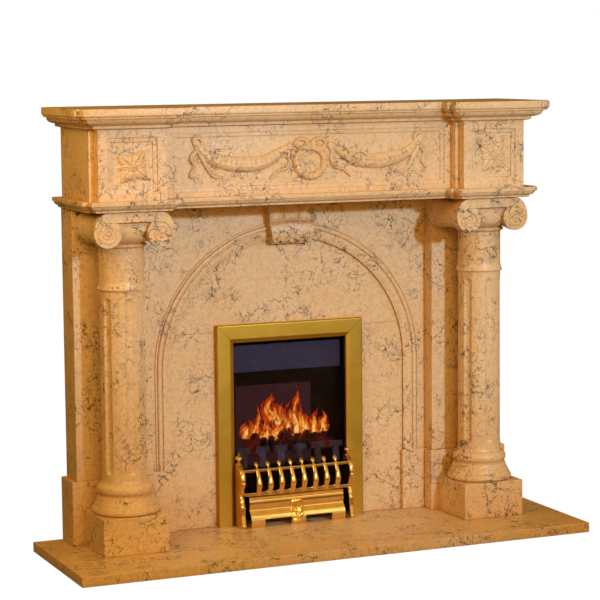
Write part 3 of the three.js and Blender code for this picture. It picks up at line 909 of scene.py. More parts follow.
@dataclass
class Column:
    """Column in front of a pilaster: turned base, fluted shaft and capital with two scrolls."""

    side: Side
    finishes: Finishes
    x: float = COLUMN_X
    out: float = 182.0
    radius: float = 62.5
    flutes: int = 6
    flute_width: float = 25.0
    flute_depth: float = 6.5
    flute_bottom: float = 240.0
    flute_top: float = 726.0
    neck_ring: Pair = (746.0, 768.0)
    neck_swell: float = 5.5
    base_back: float = 105.0
    capital_x: float = 540.0
    scroll_x: float = 75.0
    scroll_z: float = 905.0
    scroll_radius: float = 39.0
    rim: float = 936.0
    turns: float = 2.1
    capital_front: float = 281.0
    capital_back: float = 98.0
    front_plate: float = 9.0
    waist: float = 0.8
    sides: int = 180

    @property
    def center(self) -> float:
        """Place of the column's axis across the mantel."""
        return self.side.value * self.x

    @property
    def capital_center(self) -> float:
        """Place of the capital's middle across the mantel."""
        return self.side.value * self.capital_x

    def name(self, piece: str) -> str:
        """Name of a node of this column."""
        return f"{piece}_{self.side.label}"

    def build(self) -> None:
        """Makes base, shaft and capital."""
        self.base()
        self.shaft()
        self.capital()

    def base(self) -> None:
        """Turns the base, flat behind where it stands against the pilaster's plinth."""
        z = LEVELS.column_plinth_top
        foot = smooth_line([(88, z), (93, z + 3), (94.2, z + 8), (92.5, z + 14), (88.5, z + 21)], 5)
        bell = smooth_line([(86.5, z + 22.5), (84, z + 29), (80, z + 37), (77.5, z + 44), (76, z + 48)], 5)
        fillet = [(72.5, z + 49), (72.5, z + 53)]
        upper = smooth_line([(73, z + 54), (77, z + 59), (78, z + 66), (76, z + 74), (70, z + 81)], 6)
        shape = Shape()
        profile = [*foot, *bell, *fillet, *upper, (66, LEVELS.base_top)]
        shape.turned(profile, self.center, self.out, self.sides // 2)
        back = (WALL_Y - self.base_back - JOINT) * MM
        for point in shape.points:
            point.y = min(point.y, back)
        shape.piece(self.name("base_stone"), self.finishes.marble, self.name("column_base"))

    def flute_cut(self, angle: float, z: float) -> float:
        """Depth of the flutes at a place on the shaft.

        Args:
            angle: Angle from the front of the shaft.
            z: Height.

        Returns:
            How deep the stone is cut there.
        """
        pitch = 2 * math.pi / self.flutes
        offset = (angle + pitch / 2) % pitch - pitch / 2
        half = self.flute_width / 2
        from_end = min(z - self.flute_bottom, self.flute_top - z)
        if from_end <= 0:
            return 0.0
        widen = math.sqrt(max(0.0, 1 - max(0.0, 1 - from_end / half) ** 2))
        share = abs(offset * self.radius) / (half * widen + 1e-6)
        return self.flute_depth * widen * max(0.0, 1 - share**2) ** 0.7

    def shaft(self) -> None:
        """Makes the fluted shaft with its necking ring and plain neck."""
        foot = [(self.radius + 3.5, LEVELS.base_top), (self.radius + 0.8, LEVELS.base_top + 5)]
        foot.append((self.radius, LEVELS.base_top + 12))
        half = self.flute_width / 2
        ends = [half * (1 - math.cos(math.pi / 2 * i / 9)) for i in range(10)]
        heights = [self.flute_bottom + e for e in ends]
        heights += spread(self.flute_bottom + half, self.flute_top - half, 14)[1:-1]
        heights += [self.flute_top - e for e in reversed(ends)]
        taper = 1.0 / (self.flute_top - self.flute_bottom)
        fluted = [(self.radius - taper * (z - self.flute_bottom), z) for z in heights]
        neck = self.radius - 1
        low, high = self.neck_ring
        swell = self.neck_swell
        under = [(neck, low), (neck + 0.9 * swell, low + 0.5), (neck + swell, low + 2)]
        flare = smooth_line([(neck + swell, low + 4), (neck + 0.6 * swell, low + 9), (neck, high)], 5)
        top = [(neck, high + 12), (neck, LEVELS.shaft_top)]
        angles = full_turn(self.sides)
        rings: list[Ring] = []
        for radius, z in [*foot, *fluted, *under, *flare, *top]:
            ring: Ring = []
            for angle in angles:
                r = radius - self.flute_cut(angle, z)
                ring.append(at(self.center + r * math.sin(angle), self.out + r * math.cos(angle), z))
            rings.append(ring)
        shape = Shape()
        shape.loft(rings)
        shape.piece(self.name("shaft_stone"), self.finishes.marble, self.name("column_shaft"))

    def scroll_outline(self, middle: float, outward: int, out: float, scale: float) -> Ring:
        """Outline of one scroll: round below, drawn up to the bed moulding above.

        Args:
            middle: Place of the scroll's middle across.
            outward: Sign of the side that it faces.
            out: How far out this outline lies.
            scale: Its size beside the scroll's full size.

        Returns:
            The outline's points.
        """
        rise = LEVELS.bed_bottom - self.scroll_z - JOINT
        ring: Ring = []
        for angle in full_turn(56):
            across = math.cos(angle) * self.scroll_radius * scale
            up = math.sin(angle) * scale * (rise if math.sin(angle) > 0 else self.scroll_radius)
            ring.append(at(middle + outward * across, out, self.scroll_z + up))
        return ring

    def scroll_side(self, shape: Shape, middle: float, outward: int) -> None:
        """Adds the rolled side of one scroll, waisted and bound with ridges.

        Args:
            shape: Shape that receives it.
            middle: Place of the scroll's middle across.
            outward: Sign of the side that it faces.
        """
        depth = self.capital_front - self.front_plate - self.capital_back
        rings: list[Ring] = []
        for share in spread(0.0, 1.0, 49):
            from_middle = abs(2 * share - 1)
            sweep = self.waist + (0.985 - self.waist) * min(1.0, from_middle / 0.84) ** 2
            ridge = 0.022 * math.cos(2 * math.pi * 9 * share) if from_middle < 0.45 else 0.0
            out = self.capital_back + share * depth
            rings.append(self.scroll_outline(middle, outward, out, sweep + ridge))
        shape.loft(rings)

    def front_outline(self, out: float, inset: float) -> Ring:
        """Outline of the capital's front: two scrolls that hang from one band with rounded corners.

        Args:
            out: How far out this outline lies.
            inset: How far it is drawn in from the edge.

        Returns:
            The outline's points.
        """
        rise = LEVELS.bed_bottom - JOINT - self.scroll_z
        inner_turn = math.asin((self.rim - self.scroll_z) / self.scroll_radius)
        right: list[Pair] = []
        for angle in spread(math.pi / 2, -math.pi - inner_turn, 72):
            up = (rise if angle > 0 else self.scroll_radius) - inset
            across = (self.scroll_radius - inset) * math.cos(angle)
            right.append((self.scroll_x + across, self.scroll_z + up * math.sin(angle)))
        left = [(-x, z) for x, z in reversed(right)]
        return [at(self.capital_center + x, out, z) for x, z in [*right, *left]]

    def rolled_edge(self, shape: Shape) -> None:
        """Adds the raised edge that runs along the band and curls into both scrolls, and their eyes.

        Args:
            shape: Shape that receives them.
        """
        start = self.rim - self.scroll_z
        half: list[Pair] = []
        for t in spread(0.0, 1.0, 80):
            angle = math.pi / 2 - 2 * math.pi * self.turns * t
            r = start * (1 - 0.78 * t**0.85)
            half.append((self.scroll_x + r * math.cos(angle), self.scroll_z + r * math.sin(angle)))
        run = [(-x, z) for x, z in reversed(half)] + [(x, self.rim) for x in spread(-60.0, 60.0, 9)] + half
        line = [(self.capital_center + x, self.capital_front - 0.4, z) for x, z in run]
        shape.strand(line, 10, lambda t: 1.7 + 1.5 * math.sin(math.pi * t), lambda t: 2.6)
        dome = [(7 * math.cos(a), 4 * math.sin(a)) for a in spread(0.0, math.pi / 2 - 0.02, 8)]
        turns = full_turn(24)
        front, z = self.capital_front - 1, self.scroll_z
        for outward in (-1, 1):
            x = self.capital_center + outward * self.scroll_x
            rings = [
                [at(x + r * math.cos(t), front + lift, z + r * math.sin(t)) for t in turns]
                for r, lift in dome
            ]
            shape.loft(rings)

    def capital(self) -> None:
        """Makes the capital: scrolls, the channel between them and the round echinus below."""
        shape = Shape()
        front, plate = self.capital_front, self.front_plate
        layers = ((front - plate - 1, 0.0), (front - 2.0, 0.0), (front - 0.6, 0.5), (front, 1.8))
        shape.loft([self.front_outline(out, inset) for out, inset in layers])
        low = (self.capital_center - self.scroll_x, self.capital_back + 6, self.scroll_z + 2)
        high = (self.capital_center + self.scroll_x, front - plate - 3, LEVELS.bed_bottom - JOINT)
        shape.block(low, high, 2.0)
        z = LEVELS.shaft_top
        ring = [(61.5, z), (62, z + 3)]
        ring += [(63 + 7 * math.sin(math.pi * i / 10) ** 0.7, z + 4 + 11 * i / 10) for i in range(11)]
        bell = smooth_line([(63, z + 16), (74, z + 21), (84, z + 31), (89, z + 46), (89.5, z + 66)], 6)
        shape.turned([*ring, *bell], self.center, self.out, self.sides // 2)
        for outward in (-1, 1):
            self.scroll_side(shape, self.capital_center + outward * self.scroll_x, outward)
        self.rolled_edge(shape)
        shape.piece(self.name("capital_stone"), self.finishes.marble, self.name("capital"))


@dataclass
class ArchPanel:
    """Slab with the arched opening and its moulded edge, and the keystone over its crown."""

    finishes: Finishes
    radius: float = 364.0
    back: float = PANEL_FRONT
    front: float = 50.0
    half: float = BAY_HALF
    steps: int = 96
    key_top_half: float = 75.0
    key_bottom_half: float = 62.0
    key_bottom: float = 842.0
    key_groove: float = 902.0
    key_front: float = 84.0
    key_flutes: int = 3
    key_flute_depth: float = 15.0
    key_notch: float = 8.0

    def path(self, offset: float) -> list[Pair]:
        """Line of the opening grown outwards.

        Args:
            offset: How far it is grown.

        Returns:
            Points across and up, from the left foot to the right.
        """
        r = self.radius + offset
        angles = [math.pi * (1 - i / self.steps) for i in range(self.steps + 1)]
        curve = [(r * math.cos(a), LEVELS.arch_spring + r * math.sin(a)) for a in angles]
        return [(-r, LEVELS.pedestal_top), *curve, (r, LEVELS.pedestal_top)]

    def panel(self) -> None:
        """Makes the slab and the raised moulding round the opening."""
        foot, top = LEVELS.pedestal_top, LEVELS.bed_bottom
        corners = [(self.half, foot), (self.half, top), (-self.half, top), (-self.half, foot)]
        outline = [*self.path(0), *corners]
        shape = Shape()
        shape.loft([[at(x, out, z) for x, z in outline] for out in (self.back, self.front)])
        band = [(0, -2), (0, 1.6), (0.6, 2.4), (13, 6.4), (15, 7), (25, 7), (26, 6.0), (26.6, 3.2), (28, 3.0)]
        bead = smooth_line([(28.8, 3.6), (30, 6.4), (33.5, 8), (37, 8), (40, 6.4), (41.2, 3.4)], 4)
        slope = [(41.8, 1.8), (43.0, 1.8), (43.6, 4.2), (46.4, 4.2), (47.4, 3.4), (48, -2)]
        section = [*band, *bead, *slope]
        paths = [self.path(offset) for offset, _ in section]
        rings = [
            [at(line[i][0], self.front + rise, line[i][1]) for line, (_, rise) in zip(paths, section)]
            for i in range(len(paths[0]))
        ]
        shape.loft(rings)
        shape.piece("arch_panel_stone", self.finishes.marble, "arch_panel")

    def key_out(self, share: float, z: float) -> float:
        """Face of the keystone: fluted above, a plain roll below, parted by a groove.

        Args:
            share: Place across, from -1 to 1.
            z: Height.

        Returns:
            How far out the face is there.
        """
        groove = self.key_groove - 6 * share * share
        height = z - groove
        sink = 8 * math.exp(-((height / 3.0) ** 2))
        if height > 0:
            flute = abs(math.sin(math.pi * self.key_flutes * (share + 1) / 2)) ** 0.6
            ends = min(1.0, max(0.0, height - 3) / 7)
            return self.key_front - self.key_flute_depth * flute * ends - sink
        drop = min(1.0, -height / (groove - self.key_bottom))
        return self.key_front - 3 + 7 * math.sin(math.pi * drop) ** 0.8 - sink

    def keystone(self) -> None:
        """Makes the keystone with a scalloped lower edge and the lip that reaches in under the arch."""
        top = LEVELS.bed_bottom - JOINT
        shape = Shape()
        rings: list[Ring] = []
        shares = spread(1.0, -1.0, 73)
        for level in spread(0.0, 1.0, 61):
            base = self.key_bottom + level * (top - self.key_bottom)
            half = self.key_bottom_half + level * (self.key_top_half - self.key_bottom_half)
            fade = max(0.0, 1 - level / 0.2)
            face: Ring = []
            for share in shares:
                notch = 1 - abs(math.sin(math.pi * 2.5 * (share + 1))) ** 0.5
                z = base + self.key_notch * fade * notch
                face.append(at(share * half, self.key_out(share, base), z))
            rings.append([at(half, self.front, base), *face, at(-half, self.front, base)])
        shape.loft(rings)
        lip = self.key_bottom_half - 2
        low = (-lip, self.back + JOINT, self.key_bottom - 4)
        shape.block(low, (lip, self.key_front - 14, self.key_bottom + 12), 1.5)
        shape.piece("keystone_stone", self.finishes.marble, "keystone")

    def build(self) -> None:
        """Makes the panel and the keystone."""
        self.panel()
        self.keystone()


@dataclass
class Frieze:
    """Carved frieze between its bed moulding and the shelf."""

    finishes: Finishes
    center_out: float = 221.0
    step_out: float = 250.0
    block_out: float = 281.0
    step_inner: float = BAY_HALF
    block_inner: float = 447.0
    block_outer: float = 640.0
    step_outer: float = 656.0
    field_half: float = 416.0
    field_bottom: float = 1004.0
    field_top: float = 1166.0
    block_field: Pair = (473.0, 613.0)
    block_field_z: Pair = (1010.0, 1160.0)
    border: tuple[Pair, ...] = ((0.0, 0.0), (0.8, 3.4), (4.0, 3.6), (11.5, 3.8), (12.5, 7.2), (15.0, 7.4))
    grid: float = 1.9
    wreath_z: float = 1079.0
    wreath_radii: Pair = (42.0, 40.0)
    wreath_leaves: int = 22
    flower: Pair = (543.0, 1082.0)

    def plan(self, projection: float, z: float) -> Ring:
        """Stepped plan of the frieze grown by a moulding's projection.

        Args:
            projection: How far it is grown.
            z: Its height.

        Returns:
            The plan's points.
        """
        p = projection
        half = [
            (self.step_inner - p, self.center_out + p),
            (self.step_inner - p, self.step_out + p),
            (self.block_inner - p, self.step_out + p),
            (self.block_inner - p, self.block_out + p),
            (self.block_outer + p, self.block_out + p),
            (self.block_outer + p, self.step_out + p),
            (self.step_outer + p, self.step_out + p),
            (self.step_outer + p, 0.0),
        ]
        left = [(-x, out) for x, out in reversed(half)]
        return [at(x, out, z) for x, out in [*left, *half]]

    def moulding(self, name: str, profile: Sequence[Sequence[float]], top: float) -> None:
        """Makes a moulding that breaks forward with the frieze.

        Args:
            name: Name of the node that it stands for.
            profile: Projections and drops from its top.
            top: Height of its top.
        """
        shape = Shape()
        shape.loft([self.plan(projection, top - drop) for projection, drop in profile])
        shape.piece(f"{name}_stone", self.finishes.marble, name)

    def shelf(self) -> None:
        """Makes the moulded shelf."""
        edge = smooth_line([(51, 0), (53.1, 0.9), (54, 3)], 3)
        nose = smooth_line([(54, 16), (53.6, 19), (52, 21.4), (49, 22.5)], 3)
        neck = [(49, 26.2), (48.4, 27), (41, 27.5)]
        ovolo = smooth_line([(40.5, 29), (39.2, 34), (35, 39), (28, 42.6), (20, 44.5)], 4)
        fillet = [(16.6, 44.8), (16, 46), (16, 52), (15, 53.2), (2, LEVELS.shelf_top - LEVELS.frieze_top)]
        self.moulding("shelf", [*edge, *nose, *neck, *ovolo, *fillet], LEVELS.shelf_top)

    def lower_moulding(self) -> None:
        """Makes the bed moulding under the frieze."""
        edge = smooth_line([(27.5, 0), (28.6, 0.5), (29, 1.5)], 3)
        nose = [(29, 9.8), (28.4, 10.8), (24.5, 11.5)]
        ovolo = smooth_line([(24, 12.6), (23, 15.5), (20.5, 19), (17, 21.6), (13, 23)], 4)
        fillet = [(12, 24), (12, 28), (11, 29), (3, LEVELS.frieze_bottom - LEVELS.bed_bottom)]
        self.moulding("lower_moulding", [*edge, *nose, *ovolo, *fillet], LEVELS.frieze_bottom)

    def lines(self, low: float, high: float, field_low: float, field_high: float) -> list[float]:
        """Grid lines across a face: its edges, every step of the border, and an even grid inside.

        Args:
            low: Lower edge of the face.
            high: Upper edge of the face.
            field_low: Lower edge of its sunk field.
            field_high: Upper edge of its sunk field.

        Returns:
            Places of the lines, in no order.
        """
        inset = self.border[-1][0]
        stops = [distance for distance, _ in self.border]
        inner_low, inner_high = field_low + inset, field_high - inset
        count = int((inner_high - inner_low) / self.grid) + 1
        sides = [field_low + s for s in stops[:-1]] + [field_high - s for s in stops[:-1]]
        return [low, *sides, *spread(inner_low, inner_high, count), high]

    def swag(self, relief: Relief, side: int) -> None:
        """Carves one hanging swag.

        Args:
            relief: Face that it is carved on.
            side: Sign of its side.
        """
        outer = [(338, 1141), (322, 1117), (292, 1094), (242, 1079)]
        inner = [(186, 1075), (134, 1083), (88, 1109), (60, 1127)]
        relief.garland([(side * x, z) for x, z in [*outer, *inner]], 21.0, 13.0, 0.3)

    def ribbons(self, relief: Relief, side: int) -> None:
        """Carves half of the bow, and the knots and tails that hold one swag.

        Args:
            relief: Face that they are carved on.
            side: Sign of their side.
        """
        runs = [
            [(2, 1120), (14, 1138), (34, 1142), (46, 1130), (34, 1118), (12, 1118)],
            [(58, 1122), (67, 1104), (63, 1084), (72, 1064), (88, 1058), (101, 1054), (120, 1036)],
            [(336, 1124), (346, 1146), (330, 1152), (322, 1134), (338, 1116)],
            [(334, 1118), (318, 1088), (300, 1056), (286, 1044), (262, 1042)],
            [(340, 1116), (354, 1096), (346, 1074), (358, 1050), (348, 1042)],
        ]
        for run in runs:
            relief.ribbon([(side * x, z) for x, z in run], 7.5, 8.5)
        relief.fruit((side * 336, 1122), (9.0, 8.0), 0.0, 10.0)

    def wreath(self, relief: Relief) -> None:
        """Carves the leafy wreath in the middle.

        Args:
            relief: Face that it is carved on.
        """
        z = self.wreath_z
        wide, high = self.wreath_radii
        ring = [(wide * math.cos(a), z + high * math.sin(a)) for a in spread(0.0, 2 * math.pi, 49)]
        relief.garland(ring, 9.5, 10.0, 0.95)
        for angle in full_turn(self.wreath_leaves):
            root = (wide * math.cos(angle), z + high * math.sin(angle))
            for lean in (-0.6, 0.6):
                relief.leaf(root, angle + math.pi / 2 + lean, 19, 6.5, 11.0)

    def center(self) -> None:
        """Makes the middle of the frieze."""
        xs = self.lines(-self.step_inner, self.step_inner, -self.field_half, self.field_half)
        zs = self.lines(LEVELS.frieze_bottom, LEVELS.frieze_top, self.field_bottom, self.field_top)
        relief = Relief(xs, zs)
        relief.sink((-self.field_half, self.field_bottom), (self.field_half, self.field_top), self.border)
        for side in Side:
            self.swag(relief, side.value)
            self.ribbons(relief, side.value)
        self.wreath(relief)
        shape = Shape()
        relief.slab(shape, 0.0, self.center_out)
        shape.piece("frieze_center_stone", self.finishes.marble, "frieze_center")

    def end_block(self, side: Side) -> None:
        """Makes one end block: stepped forward twice, with a flower in a sunk field.

        Args:
            side: Side of the mantel.
        """
        name = f"frieze_block_{side.label}"
        bottom, top = LEVELS.frieze_bottom, LEVELS.frieze_top
        shape = Shape()
        low, high = side.span(self.step_inner, self.step_outer)
        shape.block((low, 0.0, bottom), (high, self.step_out, top), 0.8)
        low, high = side.span(self.block_inner, self.block_outer)
        field_low, field_high = side.span(*self.block_field)
        z_low, z_high = self.block_field_z
        relief = Relief(self.lines(low, high, field_low, field_high), self.lines(bottom, top, z_low, z_high))
        relief.sink((field_low, z_low), (field_high, z_high), self.border)
        middle = (side.value * self.flower[0], self.flower[1])
        for i, angle in enumerate(full_turn(8)):
            length = 54 if i % 2 else 40
            relief.leaf(middle, angle + 0.12, length, 0.34 * length, 7.5)
        for angle in full_turn(6):
            spot = (middle[0] + 8 * math.cos(angle), middle[1] + 8 * math.sin(angle))
            relief.fruit(spot, (7.5, 5.0), angle, 9.5)
        relief.fruit(middle, (5.5, 5.5), 0.0, 11.0)
        relief.slab(shape, self.step_out - 1.0, self.block_out)
        shape.piece(f"{name}_stone", self.finishes.marble, name)

    def build(self) -> None:
        """Makes the mouldings and the three stones of the frieze."""
        self.lower_moulding()
        self.center()
        for side in Side:
            self.end_block(side)
        self.shelf()


@dataclass
class FireTrim:
    """Brass trim with mitred corners, and the pane and back of the fire."""

    finishes: Finishes
    outer: float = 228.0
    inner: float = 176.0
    top: float = 611.0
    back: float = PANEL_FRONT
    front: float = 61.0
    bevel: float = 4.0
    lip: float = 12.0

    def section(self) -> list[Pair]:
        """Section of a bar, with a rounded outer edge and a lip that slopes in.

        Returns:
            Distances in from its outer edge, and how far out from the wall.
        """
        width = self.outer - self.inner
        front, bevel = self.front, self.bevel
        turns = spread(0.0, math.pi / 2, 6)
        corner = [(bevel * (1 - math.cos(a)), front - bevel * (1 - math.sin(a))) for a in turns]
        lip = width - self.lip
        slope = [(lip, front), (lip + 1, front - 0.4), (width - 1.2, front - 3.4), (width, front - 4.6)]
        return [(0.0, self.back), *corner, *slope, (width, self.back)]

    def bar(self, name: str, ends: Sequence[Callable[[float, float], Vector]]) -> None:
        """Makes one bar between two ends.

        Args:
            name: Name of the node that it stands for.
            ends: Its ends, each a function of a section point.
        """
        shape = Shape()
        shape.loft([[end(share, out) for share, out in self.section()] for end in ends])
        shape.piece(f"{name}_brass", self.finishes.satin, name)

    def foot(self, side: Side) -> Callable[[float, float], Vector]:
        """Lower end of a side bar, on the hearth."""
        return lambda share, out: at(side.value * (self.outer - share), out, FLOOR_TOP)

    def miter(self, side: Side, across: float, down: float) -> Callable[[float, float], Vector]:
        """Mitred end at an upper corner, drawn back across or down by the width of the joint."""
        return lambda share, out: at(side.value * (self.outer - share - across), out, self.top - share - down)

    def build(self) -> None:
        """Makes the three bars, and gives the pane and the back of the fire their finishes."""
        for side in Side:
            self.bar(f"trim_{side.label}", [self.foot(side), self.miter(side, JOINT, JOINT)])
        self.bar("trim_top", [self.miter(Side.LEFT, 3 * JOINT, 0.0), self.miter(Side.RIGHT, 3 * JOINT, 0.0)])
        for name, finish in (("fire_glass", self.finishes.glass), ("fire_back", self.finishes.black)):
            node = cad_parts[name]
            node.data.materials.clear()
            node.data.materials.append(finish.material)
            finish.mark(node)
            LOG.info("node %s dressed", name)


@dataclass
class Fire:
    """What shows behind the pane: hood, flame screen, grate, coals and flames."""

    finishes: Finishes
    hood: tuple[Spot, Spot] = ((-170, 4.5, 468), (170, 26, 543))
    screen: tuple[Spot, Spot] = ((-152, 4.5, 190), (84, 7.0, 424))
    coal_rows: tuple[Pair, ...] = ((236.0, 152.0), (254.0, 140.0), (270.0, 122.0))
    coals_in_row: int = 15
    grate_reach: Pair = (-141.0, 149.0)
    grate_count: int = 6

    def box(self, name: str, low: Sequence[float], high: Sequence[float], finish: Finish) -> None:
        """Makes one plate with softened edges.

        Args:
            name: Name of the piece.
            low: Lowest corner, as across, out and up.
            high: Highest corner.
            finish: Its finish.
        """
        shape = Shape()
        shape.block(low, high, 0.6)
        shape.piece(name, finish)

    def lump(self, shape: Shape, center: Sequence[float], radii: Sequence[float], seed: int) -> None:
        """Adds one rough coal.

        Args:
            shape: Shape that receives it.
            center: Its middle, as across, out and up.
            radii: Its radii in the same order.
            seed: Number that tells its bumps from those of others.
        """

        def swell(polar: float, turn: float) -> float:
            """Size of the coal towards one direction."""
            waves = 0.16 * math.sin(3 * turn + seed) * math.sin(2 * polar + 1.7 * seed)
            return 1 + waves + 0.08 * math.sin(5 * turn + 2.3 * seed + 4 * polar)

        shape.ball(center, radii, 12, swell)

    def coals(self) -> None:
        """Makes the heaped bed of coals."""
        shape = Shape()
        for row, (z, reach) in enumerate(self.coal_rows):
            count = self.coals_in_row - 3 * row
            for i in range(count):
                share = (i + 0.5) / count
                x = 6 - reach + 2 * reach * share
                heave = 6 * math.sin(2.1 * i + row)
                radii = (12 + 2.5 * math.sin(1.3 * i + row), 6.0, 11 + 2 * math.cos(1.9 * i))
                self.lump(shape, (x, 34 - 2 * row, z + heave), radii, i + 17 * row)
        shape.piece("coals", self.finishes.coal)

    def grate_bars(self) -> None:
        """Makes the row of dark T-shaped bars in front of the coals."""
        shape = Shape()
        for x in spread(*self.grate_reach, self.grate_count):
            shape.block((x - 20, 39, 233), (x + 20, 44, 250), 1.5)
            shape.block((x - 10, 39, 190), (x + 10, 43.5, 235), 1.5)
        shape.piece("grate", self.finishes.grate)

    def tongue(self, shape: Shape, line: Sequence[Pair], width: float, out: float, reach: float) -> None:
        """Adds one flame, a thin leaf that swells low down and runs out to a point.

        Args:
            shape: Shape that receives it.
            line: Points across and up that its middle passes.
            width: Its greatest half width.
            out: How far out from the wall it stands.
            reach: Share of the line that it covers.
        """

        def half_width(t: float) -> float:
            """Half of its width at a share of its length."""
            return width * math.sin(math.pi * min(1.0, 0.3 + 0.76 * t)) ** 1.2 * (1 - t**3) + 0.25

        path = smooth_line(line, 9)
        path = path[: max(4, round(len(path) * reach))]
        shape.strand([(x, out, z) for x, z in path], 12, half_width, lambda t: 1.2 * (1 - 0.7 * t))

    def flames(self) -> None:
        """Makes the flames over the coals in three layers, the palest and smallest in front."""
        tongues: list[tuple[list[Pair], float, float]] = [
            ([(-126, 272), (-124, 296), (-112, 318), (-118, 344)], 17, 18),
            ([(-98, 270), (-100, 300), (-86, 334), (-92, 380)], 17, 22),
            ([(-76, 268), (-64, 292), (-70, 318), (-58, 346)], 18, 26),
            ([(-46, 268), (-30, 288), (-14, 304), (-8, 330)], 18, 28),
            ([(-20, 300), (-34, 332), (-56, 358), (-42, 388), (-52, 424)], 26, 14),
            ([(6, 296), (-6, 324), (-18, 350), (-4, 382)], 17, 18),
            ([(36, 274), (26, 316), (20, 348), (38, 386), (30, 430)], 24, 20),
            ([(60, 276), (50, 310), (42, 342), (50, 386)], 18, 24),
            ([(86, 274), (84, 302), (94, 326), (104, 356)], 20, 20),
            ([(120, 274), (116, 298), (126, 318), (114, 346)], 18, 16),
        ]
        layers = (
            ("flame_edges", 1.35, 1.0, 0.0, self.finishes.flame_edge),
            ("flame_bodies", 0.8, 0.84, 2.6, self.finishes.flame_body),
            ("flame_hearts", 0.34, 0.58, 5.2, self.finishes.flame_heart),
        )
        for name, scale, reach, forward, finish in layers:
            shape = Shape()
            for line, width, out in tongues:
                self.tongue(shape, line, width * scale, out + forward, reach)
            shape.piece(name, finish)

    def build(self) -> None:
        """Makes everything behind the pane."""
        self.box("fire_hood", *self.hood, self.finishes.hood)
        self.box("flame_screen", *self.screen, self.finishes.screen)
        self.coals()
        self.grate_bars()
        self.flames()


